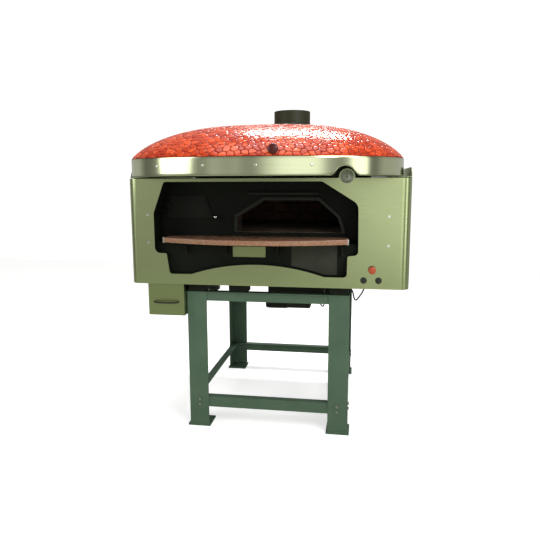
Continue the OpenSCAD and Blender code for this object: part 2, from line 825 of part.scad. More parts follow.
module shaft_bearings() {
    color("#b8bcb6") for (z = [784, 1018]) difference() {
        translate([deck_x, vault_y, z]) cylinder(r = 36, h = 20);
        translate([deck_x, vault_y, z - 1]) cylinder(r = shaft_r + running, h = 22);
    }
}

// Roll angle of the involute that starts at radius base
function involute(base, r) = let(a = acos(min(1, base / r))) tan(a) * 180 / PI - a;

// Half of a tooth's angle at radius r
function tooth_half(z, r) = let(p = z * gear_module / 2, base = p * cos(20))
    90 / z * 0.94 + involute(base, p) - involute(base, max(r, base));

function gear_outline(z) = let(p = z * gear_module / 2, root = p - 1.2 * gear_module, tip = p + 0.9 * gear_module,
    radii = [root, p - 0.5 * gear_module, p, p + 0.5 * gear_module, tip])
    [for (i = [0:z - 1], k = [0:9]) let(up = k < 5, r = radii[up ? k : 9 - k],
        a = i * 360 / z + (up ? -1 : 1) * tooth_half(z, r)) r * [cos(a), sin(a)]];

module deck_gear() {
    color("#8a8e86") translate([deck_x, vault_y, gear_z]) difference() {
        union() {
            linear_extrude(gear_w) polygon(gear_outline(gear_teeth));
            translate([0, 0, -8]) cylinder(r = 40, h = gear_w + 8);
        }
        translate([0, 0, -20]) cylinder(r = shaft_r, h = 60);
    }
}

module gearmotor() {
    color("#1c1f1a") {
        difference() {
            block(60, 206, motor_y - 55, motor_y + 55, 628, tray_z - 0.5);
            translate([deck_x, motor_y, 690]) cylinder(r = 10 + running, h = 60);
        }
        translate([-74, motor_y, 656]) rotate([0, 90, 0]) cylinder(r = 42, h = 134);
        for (i = [0:7]) translate([-58 + i * 14, motor_y, 656]) rotate([0, 90, 0]) cylinder(r = 46, h = 5);
    }
}

module motor_pinion() {
    color("#9a9e96") translate([deck_x, motor_y, 0]) {
        translate([0, 0, gear_z - 2]) linear_extrude(gear_w + 4) polygon(gear_outline(pinion_teeth));
        translate([0, 0, 694]) cylinder(r = 10, h = gear_z - 692);
    }
}

module drive_tray() {
    color("#20241c") difference() {
        tray(-50, 330, 30, 470, tray_z, pan_z, sheet);
        translate([deck_x, motor_y, tray_z - 1]) cylinder(r = 20, h = 9);
    }
}

// ---------- controls ----------

module control_box() {
    color("#2c302a") difference() {
        block(508, 700, face_y + 22, face_y + 110, 866, 1000);
        block(511, 697, face_y + 25, face_y + 107, 869, 997);
        for (p = [[estop_x, estop_z], [start_x, switch_z], [selector_x, switch_z]])
            bar_y(p[0], p[1], 13, face_y + 20, face_y + 30);
        translate([530, -330, 860]) cylinder(r = 8.5, h = 12);
    }
}

module switch_collars() {
    color("#2a2c28") for (p = [[estop_x, estop_z, 8], [start_x, switch_z, 9], [selector_x, switch_z, 8]])
        difference() {
            union() {
                bar_y(p[0], p[1], 17, face_y - 4, face_y);
                bar_y(p[0], p[1], 12.5, face_y - 1, face_y + 40);
            }
            bar_y(p[0], p[1], p[2] + running, face_y - 5, face_y + 32);
        }
}

module estop_head() {
    color("#d76441") translate([estop_x, face_y, estop_z]) rotate([90, 0, 0]) rotate_extrude()
        polygon(concat([[0, -20], [8, -20], [8, 12], [17, 12], [20, 15], [20, 19]],
            [for (i = [1:5]) [20 * cos(i * 18), 19 + 7 * sin(i * 18)]]));
}

module start_button() {
    color("#1e201c") translate([start_x, face_y, switch_z]) rotate([90, 0, 0]) rotate_extrude()
        polygon([[0, -22], [9, -22], [9, 10], [8, 12], [0, 12.5]]);
}

module selector_knob() {
    color("#24261f") {
        bar_y(selector_x, switch_z, 8, face_y - 5, face_y + 24);
        bar_y(selector_x, switch_z, 13, face_y - 12, face_y - 4.5);
        block(selector_x - 4, selector_x + 4, face_y - 22, face_y - 11, switch_z - 12, switch_z + 12);
    }
}

module thermometer_case() {
    color("#82907a") difference() {
        union() {
            bar_y(dial_x, dial_z, 35, face_y - 14, face_y);
            bar_y(dial_x, dial_z, 6.8, face_y - 1, face_y + 60);
        }
        bar_y(dial_x, dial_z, 31.5, face_y - 15, face_y - 3);
        bar_y(dial_x, dial_z, 1.5 + running, face_y - 4, face_y + 12);
    }
}

module thermometer_needle() {
    color("#16181a") {
        bar_y(dial_x, dial_z, 1.5, face_y - 7, face_y + 10);
        bar_y(dial_x, dial_z, 4, face_y - 8, face_y - 5);
        block(dial_x - 1.2, dial_x + 1.2, face_y - 7, face_y - 5.5, dial_z - 8, dial_z + 25);
    }
}

// ---------- motor cable ----------

function spline(a, b, c, d, t) = 0.5 * (2 * b + (c - a) * t + (2 * a - 5 * b + 4 * c - d) * t * t
    + (3 * b - a - 3 * c + d) * t * t * t);

function smooth_route(p) = let(n = len(p)) concat([for (i = [0:n - 2], k = [0:cable_steps - 1])
    spline(p[max(i - 1, 0)], p[i], p[i + 1], p[min(i + 2, n - 1)], k / cable_steps)], [p[n - 1]]);

// A round tube of cable swept along its route
module cable_tube(p, r) {
    n = len(p);
    points = [for (i = [0:n - 1]) let(t = unit(p[min(i + 1, n - 1)] - p[max(i - 1, 0)]),
        u = unit(cross(t, [0.3, 1, 0.2])), v = cross(t, u)) each
        [for (k = [0:cable_sides - 1]) p[i] + r * (cos(k * 360 / cable_sides) * u + sin(k * 360 / cable_sides) * v)]];
    sides = [for (i = [0:n - 2], k = [0:cable_sides - 1]) let(a = i * cable_sides + k,
        b = i * cable_sides + (k + 1) % cable_sides) each
        [[a, a + cable_sides, b], [b, a + cable_sides, b + cable_sides]]];
    ends = [[for (k = [0:cable_sides - 1]) k], [for (k = [cable_sides - 1:-1:0]) (n - 1) * cable_sides + k]];
    polyhedron(points = points, faces = concat(sides, ends));
}

module motor_cable() {
    color("#1a1c18") cable_tube(smooth_route(cable_route), cable_r);
}

module cable_glands() {
    color("#2e302c") {
        difference() {
            union() {
                translate([206, motor_y, 668]) rotate([0, 90, 0]) cylinder(r = 11, h = 8, $fn = 6);
                translate([206, motor_y, 668]) rotate([0, 90, 0]) cylinder(r = 8, h = 16);
            }
            translate([200, motor_y, 668]) rotate([0, 90, 0]) cylinder(r = cable_r + 0.2, h = 40);
        }
        difference() {
            union() {
                translate([530, -330, 858]) cylinder(r = 11, h = 8, $fn = 6);
                translate([530, -330, 858]) cylinder(r = 8, h = 20);
            }
            translate([530, -330, 850]) cylinder(r = cable_r + 0.2, h = 40);
        }
        difference() {
            union() {
                bar_y(620, 900, 14, back_y, back_y + 1.4);
                bar_y(620, 900, 9.8, back_y - 24, back_y + 1);
            }
            bar_y(620, 900, 5, back_y - 30, back_y + 10);
        }
    }
}

stand_legs();
foot_plates();
top_rails();
lower_braces();
stand_bolts();
spacer_blocks();
floor_pan();
floor_insulation();
hearth_floor();
facade_panel();
side_panel_left();
side_panel_right();
rear_panel();
top_cover();
recess_surround();
mouth_plate();
mouth_frame();
firebrick_throats();
apron_panel();
access_cover();
label_plate();
stone_shelf();
shelf_brackets();
hood_soffit();
rim_band();
rim_screws();
facade_rivets();
dome_shell();
insulation_blanket();
vault();
flue_base();
flue_pipe();
damper_rod();
damper_blade();
damper_knob();
fire_door();
door_hinge();
door_knob();
fire_grate();
ash_chute();
drawer_housing();
ash_drawer();
drawer_handle();
deck_stone();
deck_carrier();
bearing_housing();
shaft_bearings();
deck_gear();
gearmotor();
motor_pinion();
drive_tray();
control_box();
switch_collars();
estop_head();
start_button();
selector_knob();
thermometer_case();
thermometer_needle();
motor_cable();
cable_glands();
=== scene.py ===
"""Wood fired pizza oven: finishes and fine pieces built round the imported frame."""

import json
import math
import random

import bmesh
import bpy
from mathutils import Matrix, Vector


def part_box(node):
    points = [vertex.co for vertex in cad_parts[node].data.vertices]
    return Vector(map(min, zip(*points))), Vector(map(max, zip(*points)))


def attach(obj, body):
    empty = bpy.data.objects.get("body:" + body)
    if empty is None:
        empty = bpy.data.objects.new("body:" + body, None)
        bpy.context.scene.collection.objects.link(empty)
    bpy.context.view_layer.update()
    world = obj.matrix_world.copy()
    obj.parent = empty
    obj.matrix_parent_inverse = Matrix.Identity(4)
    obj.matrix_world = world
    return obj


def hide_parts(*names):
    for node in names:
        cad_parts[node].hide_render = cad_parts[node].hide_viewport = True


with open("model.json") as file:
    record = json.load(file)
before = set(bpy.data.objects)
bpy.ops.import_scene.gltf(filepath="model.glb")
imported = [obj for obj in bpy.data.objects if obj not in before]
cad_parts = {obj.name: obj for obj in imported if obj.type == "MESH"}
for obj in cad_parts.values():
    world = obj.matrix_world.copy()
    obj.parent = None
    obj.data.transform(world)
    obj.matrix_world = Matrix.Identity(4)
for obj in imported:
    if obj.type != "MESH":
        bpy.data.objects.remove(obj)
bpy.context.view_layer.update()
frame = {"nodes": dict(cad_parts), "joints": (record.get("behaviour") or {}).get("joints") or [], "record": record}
nodes = frame["nodes"]
joints = {j["name"]: j for j in frame["joints"]}
mounts = {m["name"]: m for m in frame["record"]["mounts"]}

# ---------- the oven's own sizes, in metres ----------

rim_low, rim_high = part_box("rim_band")
rim_half_width = 0.735
rim_half_depth = 0.839
rim_bow_radius = 1.235
rim_squareness = 7
dome_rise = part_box("dome_shell")[1].z - rim_high.z
flue_x, flue_y = mounts["flue_spigot"]["pos_m"][:2]
flue_radius = mounts["flue_spigot"]["dims"]["r_mm"] / 1000
dial_x, _, dial_z = joints["needle_turn"]["pos_m"]
front_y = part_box("facade_panel")[0].y
notch_radius = 0.046
notch_half_width = 0.0657
FRONT_AXIS = (0, 1, 0)


def rim_reach(angle):
    """Distance from the middle of the rim to its edge, in the direction of angle."""
    along = max(abs(math.cos(angle)), 0.001)
    across = abs(math.sin(angle))
    offset = rim_bow_radius - rim_half_depth
    bowed = math.sqrt((across * offset) ** 2 - offset**2 + rim_bow_radius**2) - across * offset
    flat = rim_half_width / along
    return (flat**-rim_squareness + bowed**-rim_squareness) ** (-1 / rim_squareness)


def dome_height(share):
    """Height of the dome over its foot, at a share of the way from crown to rim."""
    return dome_rise * max(0.0, 1 - share**2.8) ** 0.76


# ---------- making meshes ----------


def piece(name, verts, faces, body, finish, slot, smooth=True, sharp=35):
    """A named mesh that rides on a body, with its finish."""
    mesh = bpy.data.meshes.new(name)
    mesh.from_pydata([tuple(v) for v in verts], [], faces)
    mesh.validate()
    made = bpy.data.objects.new(name, mesh)
    bpy.context.scene.collection.objects.link(made)
    work = bmesh.new()
    work.from_mesh(mesh)
    bmesh.ops.remove_doubles(work, verts=work.verts, dist=1e-6)
    bmesh.ops.recalc_face_normals(work, faces=work.faces)
    work.to_mesh(mesh)
    work.free()
    if smooth:
        mesh.shade_smooth()
        mesh.set_sharp_from_angle(angle=math.radians(sharp))
    mesh.materials.append(finish)
    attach(made, body)
    return made


def between_rings(rings, count, first=0):
    """Faces that join each ring of count points to the next ring."""
    faces = []
    for i in range(rings - 1):
        low, high = first + i * count, first + (i + 1) * count
        for k in range(count):
            n = (k + 1) % count
            faces.append((low + k, low + n, high + n, high + k))
    return faces


def turned(profile, place, axis, steps=64):
    """Points and faces of a shape turned on a lathe: profile holds (radius, distance along axis)."""
    turn = Vector((0, 0, 1)).rotation_difference(Vector(axis)).to_matrix()
    verts = []
    for radius, along in profile:
        for k in range(steps):
            a = 2 * math.pi * k / steps
            point = Vector((radius * math.cos(a), radius * math.sin(a), along))
            verts.append(turn @ point + Vector(place))
    faces = between_rings(len(profile), steps)
    for row in (0, len(profile) - 1):
        if profile[row][0] > 1e-6 and profile[0] != profile[-1]:
            faces.append(tuple(range(row * steps, (row + 1) * steps)))
    return verts, faces


def gather(parts):
    """Several (points, faces) pairs as one pair."""
    verts, faces = [], []
    for more_verts, more_faces in parts:
        first = len(verts)
        verts += list(more_verts)
        faces += [tuple(first + i for i in f) for f in more_faces]
    return verts, faces


def swept(path, radius, steps=16):
    """Points and faces of a round bar that follows a path, closed at both ends."""
    verts = []
    path = [Vector(p) for p in path]
    side = None
    for i, p in enumerate(path):
        ahead = (path[min(i + 1, len(path) - 1)] - path[max(i - 1, 0)]).normalized()
        if side is None:
            side = ahead.cross(Vector((0.123, 0.31, 0.94))).normalized()
        side = (side - ahead * side.dot(ahead)).normalized()
        up = ahead.cross(side)
        r = radius[i] if isinstance(radius, list) else radius
        for k in range(steps):
            a = 2 * math.pi * k / steps
            verts.append(p + side * (r * math.cos(a)) + up * (r * math.sin(a)))
    faces = between_rings(len(path), steps)
    faces.append(tuple(range(steps)))
    faces.append(tuple(range((len(path) - 1) * steps, len(path) * steps)))
    return verts, faces


def slab(outline, low, high, edge):
    """A flat plate of that outline, in X and Y, with its edges eased by edge."""
    verts = []
    count = len(outline)
    inward = []
    for i in range(count):
        before, here, after = (Vector(outline[(i + k) % count]) for k in (-1, 0, 1))
        a, b = (here - before).normalized(), (after - here).normalized()
        along = (a + b).normalized()
        inward.append(Vector((-along.y, along.x)) / max(0.5, along.dot(b)))
    under, over = [], []
    for t in range(5):
        turn = math.pi / 2 * t / 4
        drop, set_in = edge * (1 - math.sin(turn)), edge * (1 - math.cos(turn))
        under.append((low + drop, set_in))
        over.append((high - drop, set_in))
    rings = under[::-1] + over
    for z, set_in in rings:
        for p, n in zip(outline, inward):
            q = Vector(p) + n * set_in
            verts.append(Vector((q.x, q.y, z)))
    faces = between_rings(len(rings), count)
    faces.append(tuple(range(count)))
    faces.append(tuple(range((len(rings) - 1) * count, len(rings) * count)))
    return verts, faces


# ---------- effects shared by the finishes ----------


def effect(name, inputs, outputs):
    """An empty shader group with number inputs, and Mask or Colour outputs."""
    tree = bpy.data.node_groups.new(name, "ShaderNodeTree")
    for label, kind, value in inputs:
        socket = tree.interface.new_socket(name=label, in_out="INPUT", socket_type=kind)
        socket.default_value = value
    for label, kind in outputs:
        tree.interface.new_socket(name=label, in_out="OUTPUT", socket_type=kind)
    return tree, tree.nodes.new("NodeGroupInput"), tree.nodes.new("NodeGroupOutput")


def node(tree, kind, **settings):
    made = tree.nodes.new(kind)
    for key, value in settings.items():
        setattr(made, key, value)
    return made


def brushed_lines():
    """Long fine lines in the direction with the small stretch, for rolled and brushed sheet."""
    tree, given, out = effect(
        "brushed_lines",
        [("Stretch", "NodeSocketVector", (6.0, 6.0, 400.0)), ("Detail", "NodeSocketFloat", 3.0)],
        [("Lines", "NodeSocketFloat"), ("Marks_and_reflection", "NodeSocketFloat")],
    )
    place = node(tree, "ShaderNodeTexCoord")
    stretched = node(tree, "ShaderNodeVectorMath", operation="MULTIPLY")
    lines = node(tree, "ShaderNodeTexNoise")
    lines.inputs["Scale"].default_value = 1.0
    # Broad cloudy patches: partly handling marks, partly painted reflection on the steel.
    marks_and_reflection = node(tree, "ShaderNodeTexNoise")
    marks_and_reflection.inputs["Scale"].default_value = 3.1
    marks_and_reflection.inputs["Detail"].default_value = 4.0
    tree.links.new(place.outputs["Object"], stretched.inputs[0])
    tree.links.new(given.outputs["Stretch"], stretched.inputs[1])
    tree.links.new(stretched.outputs[0], lines.inputs["Vector"])
    tree.links.new(given.outputs["Detail"], lines.inputs["Detail"])
    tree.links.new(place.outputs["Object"], marks_and_reflection.inputs["Vector"])
    tree.links.new(lines.outputs["Fac"], out.inputs["Lines"])
    tree.links.new(marks_and_reflection.outputs["Fac"], out.inputs["Marks_and_reflection"])
    return tree


def mottle():
    """Soft uneven patches between a low and a high level."""
    tree, given, out = effect(
        "mottle",
        [
            ("Scale", "NodeSocketFloat", 8.0),
            ("Low", "NodeSocketFloat", 0.35),
            ("High", "NodeSocketFloat", 0.65),
        ],
        [("Patches", "NodeSocketFloat"), ("Grit", "NodeSocketFloat")],
    )
    place = node(tree, "ShaderNodeTexCoord")
    patches = node(tree, "ShaderNodeTexNoise")
    patches.inputs["Detail"].default_value = 6.0
    patches.inputs["Roughness"].default_value = 0.62
    spread = node(tree, "ShaderNodeMapRange")
    times = node(tree, "ShaderNodeMath", operation="MULTIPLY")
    times.inputs[1].default_value = 28.0
    grit = node(tree, "ShaderNodeTexNoise")
    grit.inputs["Detail"].default_value = 3.0
    for texture in (patches, grit):
        tree.links.new(place.outputs["Object"], texture.inputs["Vector"])
    tree.links.new(given.outputs["Scale"], patches.inputs["Scale"])
    tree.links.new(given.outputs["Scale"], times.inputs[0])
    tree.links.new(times.outputs[0], grit.inputs["Scale"])
    tree.links.new(patches.outputs["Fac"], spread.inputs["Value"])
    tree.links.new(given.outputs["Low"], spread.inputs["From Min"])
    tree.links.new(given.outputs["High"], spread.inputs["From Max"])
    tree.links.new(spread.outputs["Result"], out.inputs["Patches"])
    tree.links.new(grit.outputs["Fac"], out.inputs["Grit"])
    return tree


def settled_dust():
    """Where dust and ash settle: on what faces up, broken up by patches."""
    tree, given, out = effect(
        "settled_dust",
        [("Amount", "NodeSocketFloat", 0.5), ("Scale", "NodeSocketFloat", 14.0)],
        [("Dust", "NodeSocketFloat")],
    )
    shape = node(tree, "ShaderNodeNewGeometry")
    split = node(tree, "ShaderNodeSeparateXYZ")
    facing = node(tree, "ShaderNodeMapRange")
    facing.inputs["From Min"].default_value = 0.3
    facing.inputs["From Max"].default_value = 1.0
    place = node(tree, "ShaderNodeTexCoord")
    patches = node(tree, "ShaderNodeTexNoise")
    patches.inputs["Detail"].default_value = 5.0
    broken = node(tree, "ShaderNodeMath", operation="MULTIPLY")
    scaled = node(tree, "ShaderNodeMath", operation="MULTIPLY", use_clamp=True)
    tree.links.new(shape.outputs["Normal"], split.inputs[0])
    tree.links.new(split.outputs["Z"], facing.inputs["Value"])
    tree.links.new(place.outputs["Object"], patches.inputs["Vector"])
    tree.links.new(given.outputs["Scale"], patches.inputs["Scale"])
    tree.links.new(facing.outputs["Result"], broken.inputs[0])
    tree.links.new(patches.outputs["Fac"], broken.inputs[1])
    tree.links.new(broken.outputs[0], scaled.inputs[0])
    tree.links.new(given.outputs["Amount"], scaled.inputs[1])
    tree.links.new(scaled.outputs[0], out.inputs["Dust"])
    return tree


BRUSHED, MOTTLE, DUST = brushed_lines(), mottle(), settled_dust()


class Finish:
    """A material in the making, round one Principled shader."""

    def __init__(self, name, roughness=0.5, metallic=0.0, coat=0.0, specular=0.5):
        self.made = bpy.data.materials.new(name)
        self.made.use_nodes = True
        self.tree = self.made.node_tree
        self.shader = self.tree.nodes["Principled BSDF"]
        self.shader.inputs["Roughness"].default_value = roughness
        self.shader.inputs["Metallic"].default_value = metallic
        self.shader.inputs["Coat Weight"].default_value = coat
        self.shader.inputs["Coat Roughness"].default_value = 0.08
        self.shader.inputs["Specular IOR Level"].default_value = specular

    def use(self, group, **values):
        made = self.tree.nodes.new("ShaderNodeGroup")
        made.node_tree = group
        for key, value in values.items():
            made.inputs[key].default_value = value
        return made

    def blend(self, mask, first, second):
        """A colour that goes from first to second with the mask. Each may be a colour or a socket."""
        mix = self.tree.nodes.new("ShaderNodeMix")
        mix.data_type = "RGBA"
        self.tree.links.new(mask, mix.inputs["Factor"])
        for socket, value in ((mix.inputs[6], first), (mix.inputs[7], second)):
            if isinstance(value, bpy.types.NodeSocket):
                self.tree.links.new(value, socket)
            else:
                socket.default_value = (*value, 1.0)
        return mix.outputs[2]

    def span(self, mask, low, high):
        """The mask spread from low to high."""
        spread = self.tree.nodes.new("ShaderNodeMapRange")
        spread.inputs["To Min"].default_value = low
        spread.inputs["To Max"].default_value = high
        self.tree.links.new(mask, spread.inputs["Value"])
        return spread.outputs["Result"]

    def colour(self, socket):
        self.tree.links.new(socket, self.shader.inputs["Base Color"])

    def roughness(self, socket):
        self.tree.links.new(socket, self.shader.inputs["Roughness"])

    def bump(self, height, strength, distance):
        made = self.tree.nodes.new("ShaderNodeBump")
        made.inputs["Strength"].default_value = strength
        made.inputs["Distance"].default_value = distance
        self.tree.links.new(height, made.inputs["Height"])
        self.tree.links.new(made.outputs["Normal"], self.shader.inputs["Normal"])

    def object_place(self):
        return self.tree.nodes.new("ShaderNodeTexCoord").outputs["Object"]


# ---------- finishes ----------


def brushed_sheet(name, light, dark, stretch, rough_low, rough_high):
    """Brushed stainless sheet: fine lines, and cloudy patches that are partly handling marks and partly painted
    reflection.
    """
    f = Finish(name, metallic=1.0)
    grain = f.use(BRUSHED, Stretch=stretch)
    # The cloudy patches move the steel's colour between light and dark: partly handling marks, partly painted
    # reflection.
    body = f.blend(f.span(grain.outputs["Marks_and_reflection"], 0.15, 0.85), light, dark)
    f.colour(f.blend(f.span(grain.outputs["Lines"], -0.1, 0.5), body, tuple(c * 0.72 for c in dark)))
    f.roughness(f.span(grain.outputs["Marks_and_reflection"], rough_low, rough_high))
    f.bump(grain.outputs["Lines"], 0.12, 0.0004)
    return f.made


def painted(name, main, worn, roughness, scale, orange_peel, dust=0.0, dusty=(0, 0, 0), specular=0.4):
    """Paint on steel: patchy tone, orange peel, and some dust on top."""
    f = Finish(name, roughness=roughness, specular=specular)
    cloth = f.use(MOTTLE, Scale=scale)
    tone = f.blend(cloth.outputs["Patches"], main, worn)
    if dust:
        settled = f.use(DUST, Amount=dust)
        tone = f.blend(settled.outputs["Dust"], tone, dusty)
    f.colour(tone)
    f.roughness(f.span(cloth.outputs["Patches"], roughness - 0.08, roughness + 0.12))
    f.bump(cloth.outputs["Grit"], orange_peel, 0.0006)
    return f.made


def mineral(name, main, dark, roughness, scale, depth, soot_and_shade=0.0):
    """Rough brick, board or stone: grains, patches, and, where given, soot that is partly real and partly painted
    shade inside the oven.
    """
    f = Finish(name, roughness=roughness, specular=0.3)
    grains = f.use(MOTTLE, Scale=scale, Low=0.3, High=0.7)
    tone = f.blend(grains.outputs["Patches"], main, dark)
    if soot_and_shade:
        # Soot patches, darkened past real soot as painted shade inside the oven.
        soot_and_shade_patches = f.use(MOTTLE, Scale=2.6, Low=0.3, High=0.62)
        tone = f.blend(f.span(soot_and_shade_patches.outputs["Patches"], soot_and_shade * 0.3, soot_and_shade), tone, (0.02, 0.017, 0.014))
    f.colour(tone)
    f.bump(grains.outputs["Grit"], 0.5, depth)
    return f.made


def brickwork():
    """Firebrick lining: courses with darker joints, and soot that is partly real and partly painted shade inside
    the oven.
    """
    f = Finish("firebrick_lining", roughness=0.92, specular=0.2)
    courses = f.tree.nodes.new("ShaderNodeTexBrick")
    courses.inputs["Scale"].default_value = 4.2
    courses.inputs["Color1"].default_value = (0.16, 0.085, 0.055, 1)
    courses.inputs["Color2"].default_value = (0.11, 0.06, 0.04, 1)
    courses.inputs["Mortar"].default_value = (0.05, 0.042, 0.034, 1)
    courses.inputs["Mortar Size"].default_value = 0.012
    turned_up = f.tree.nodes.new("ShaderNodeMapping")
    turned_up.inputs["Rotation"].default_value = (math.pi / 2, 0, 0)
    f.tree.links.new(f.object_place(), turned_up.inputs["Vector"])
    f.tree.links.new(turned_up.outputs[0], courses.inputs["Vector"])
    # Soot patches, darkened past real soot as painted shade inside the oven.
    soot_and_shade_patches = f.use(MOTTLE, Scale=4.0, Low=0.35, High=0.7)
    soot_and_shade = f.span(soot_and_shade_patches.outputs["Patches"], 0.1, 0.75)
    f.colour(f.blend(soot_and_shade, courses.outputs["Color"], (0.012, 0.01, 0.008)))
    grains = f.use(MOTTLE, Scale=20.0)
    f.bump(grains.outputs["Grit"], 0.6, 0.003)
    return f.made


def glazed_tile():
    """Orange-red glaze whose tone changes from tile to tile and pools within each."""
    f = Finish("mosaic_glaze", roughness=0.22, coat=0.12, specular=0.22)
    tone = f.tree.nodes.new("ShaderNodeAttribute")
    tone.attribute_name = "tile_tone"
    pools = f.use(MOTTLE, Scale=26.0, Low=0.42, High=0.68)
    bright = f.blend(tone.outputs["Fac"], (0.86, 0.118, 0.030), (0.46, 0.034, 0.007))
    f.colour(f.blend(f.span(pools.outputs["Patches"], 0.0, 0.5), bright, (0.42, 0.028, 0.008)))
    f.roughness(f.span(pools.outputs["Patches"], 0.16, 0.3))
    f.bump(pools.outputs["Patches"], 0.12, 0.0012)
    return f.made


def granite():
    """Polished red-brown granite with pale and dark crystals."""
    f = Finish("shelf_granite", roughness=0.26)
    crystals = f.tree.nodes.new("ShaderNodeTexVoronoi")
    crystals.inputs["Scale"].default_value = 420.0
    f.tree.links.new(f.object_place(), crystals.inputs["Vector"])
    split = f.tree.nodes.new("ShaderNodeSeparateColor")
    f.tree.links.new(crystals.outputs["Color"], split.inputs[0])
    clouds = f.use(MOTTLE, Scale=12.0)
    body = f.blend(split.outputs["Red"], (0.33, 0.155, 0.085), (0.45, 0.225, 0.13))
    pale = f.tree.nodes.new("ShaderNodeMath")
    pale.operation = "GREATER_THAN"
    pale.inputs[1].default_value = 0.86
    f.tree.links.new(split.outputs["Green"], pale.inputs[0])
    dark = f.tree.nodes.new("ShaderNodeMath")
    dark.operation = "LESS_THAN"
    dark.inputs[1].default_value = 0.12
    f.tree.links.new(split.outputs["Blue"], dark.inputs[0])
    body = f.blend(pale.outputs[0], body, (0.52, 0.36, 0.26))
    body = f.blend(dark.outputs[0], body, (0.15, 0.07, 0.045))
    f.colour(f.blend(f.span(clouds.outputs["Patches"], 0.0, 0.35), body, (0.23, 0.11, 0.065)))
    f.roughness(f.span(clouds.outputs["Patches"], 0.2, 0.34))
    return f.made


def plastic(name, main, second, roughness, scale=60.0):
    f = Finish(name, roughness=roughness)
    skin = f.use(MOTTLE, Scale=scale)
    f.colour(f.blend(skin.outputs["Patches"], main, second))
    f.roughness(f.span(skin.outputs["Patches"], roughness - 0.05, roughness + 0.08))
    f.bump(skin.outputs["Grit"], 0.08, 0.0003)
    return f.made


def clear_glass():
    f = Finish("dial_glass", roughness=0.03)
    f.shader.inputs["Transmission Weight"].default_value = 1.0
    f.shader.inputs["IOR"].default_value = 1.45
    film = f.use(MOTTLE, Scale=40.0)
    f.colour(f.blend(film.outputs["Patches"], (0.93, 0.96, 0.93), (0.98, 0.99, 0.98)))
    return f.made


SHEET = brushed_sheet(
    "stainless_front", (0.54, 0.61, 0.33), (0.40, 0.47, 0.24),
    (5.0, 5.0, 520.0), 0.17, 0.27,
)
# A lighter copy of the stainless sheet: the band's brighter colour is painted light; its polish is in the lower
# roughness.
LIT_RIM_STEEL = brushed_sheet("stainless_rim_painted_light", (0.70, 0.75, 0.50), (0.58, 0.63, 0.40), (3.0, 3.0, 620.0), 0.11, 0.19)
SIDE = brushed_sheet("stainless_sides", (0.50, 0.55, 0.36), (0.40, 0.44, 0.28), (5.0, 5.0, 520.0), 0.28, 0.38)
# A darker copy of the stainless sheet: this darker colour is painted shade. It dresses the ash drawer under the
# oven and the label plate.
SHADED_DRAWER_STEEL = brushed_sheet(
    "stainless_drawer_painted_shade", (0.36, 0.41, 0.20), (0.27, 0.32, 0.15),
    (5.0, 5.0, 480.0), 0.30, 0.42,
)
POLISHED = brushed_sheet(
    "polished_steel", (0.80, 0.82, 0.76), (0.66, 0.68, 0.62),
    (90.0, 90.0, 90.0), 0.1, 0.24,
)
TURNED = brushed_sheet(
    "turned_steel", (0.46, 0.47, 0.44), (0.32, 0.33, 0.31),
    (300.0, 300.0, 40.0), 0.28, 0.42,
)
DIAL_CASE = brushed_sheet(
    "dial_case_steel", (0.42, 0.46, 0.34), (0.32, 0.36, 0.26),
    (120.0, 120.0, 120.0), 0.24, 0.36,
)
BLACK = painted(
    "heatproof_black", (0.006, 0.008, 0.005), (0.012, 0.014, 0.009),
    0.5, 9.0, 0.16, 0.1, (0.05, 0.05, 0.04), 0.16,
)
# A darker, less shiny copy of the heatproof black: painted shade on the recess surround, the mouth plate and the
# apron.
SHADED_RECESS_BLACK = painted(
    "recess_black_painted_shade", (0.0045, 0.006, 0.0034), (0.009, 0.011, 0.007),
    0.55, 9.0, 0.16, specular=0.12,
)
GREY = painted(
    "heatproof_grey", (0.016, 0.019, 0.013), (0.026, 0.03, 0.021),
    0.5, 12.0, 0.16, 0.1, (0.07, 0.065, 0.055), 0.2,
)
COVER = painted("cover_grey", (0.030, 0.032, 0.022), (0.042, 0.045, 0.032), 0.5, 12.0, 0.16, specular=0.2)
STAND = painted(
    "stand_enamel", (0.075, 0.130, 0.085), (0.094, 0.155, 0.102),
    0.5, 7.0, 0.3, 0.12, (0.14, 0.16, 0.12), 0.3,
)
MOTOR = painted(
    "motor_enamel", (0.008, 0.009, 0.008), (0.016, 0.017, 0.015),
    0.45, 20.0, 0.25, 0.3, (0.07, 0.065, 0.055), 0.25,
)
IRON = mineral("cast_iron", (0.035, 0.034, 0.032), (0.012, 0.011, 0.01), 0.7, 30.0, 0.0012, 0.6)
FLUE = painted(
    "flue_grey", (0.019, 0.025, 0.010), (0.029, 0.037, 0.017),
    0.5, 10.0, 0.12, 0.15, (0.06, 0.065, 0.045), 0.25,
)
BRICK = brickwork()
HEARTH = mineral("hearth_stone", (0.30, 0.22, 0.16), (0.18, 0.13, 0.1), 0.9, 18.0, 0.003, 0.55)
DECK = mineral("turning_deck_stone", (0.36, 0.29, 0.22), (0.22, 0.17, 0.13), 0.85, 22.0, 0.002, 0.5)
BOARD = mineral("insulating_board", (0.68, 0.64, 0.54), (0.54, 0.5, 0.41), 0.95, 24.0, 0.003)
BLANKET = mineral("ceramic_blanket", (0.78, 0.77, 0.72), (0.62, 0.6, 0.54), 1.0, 40.0, 0.006)
GLAZE = glazed_tile()
GROUT = mineral("mosaic_joints", (0.26, 0.020, 0.008), (0.17, 0.012, 0.005), 0.8, 60.0, 0.001)
GRANITE = granite()
BLACK_PLASTIC = plastic("black_plastic", (0.014, 0.015, 0.012), (0.022, 0.023, 0.02), 0.42)
RED_PLASTIC = plastic("stop_red", (0.52, 0.09, 0.035), (0.44, 0.07, 0.025), 0.34)
DARK_RED = plastic("knob_red", (0.09, 0.006, 0.003), (0.055, 0.004, 0.002), 0.22)
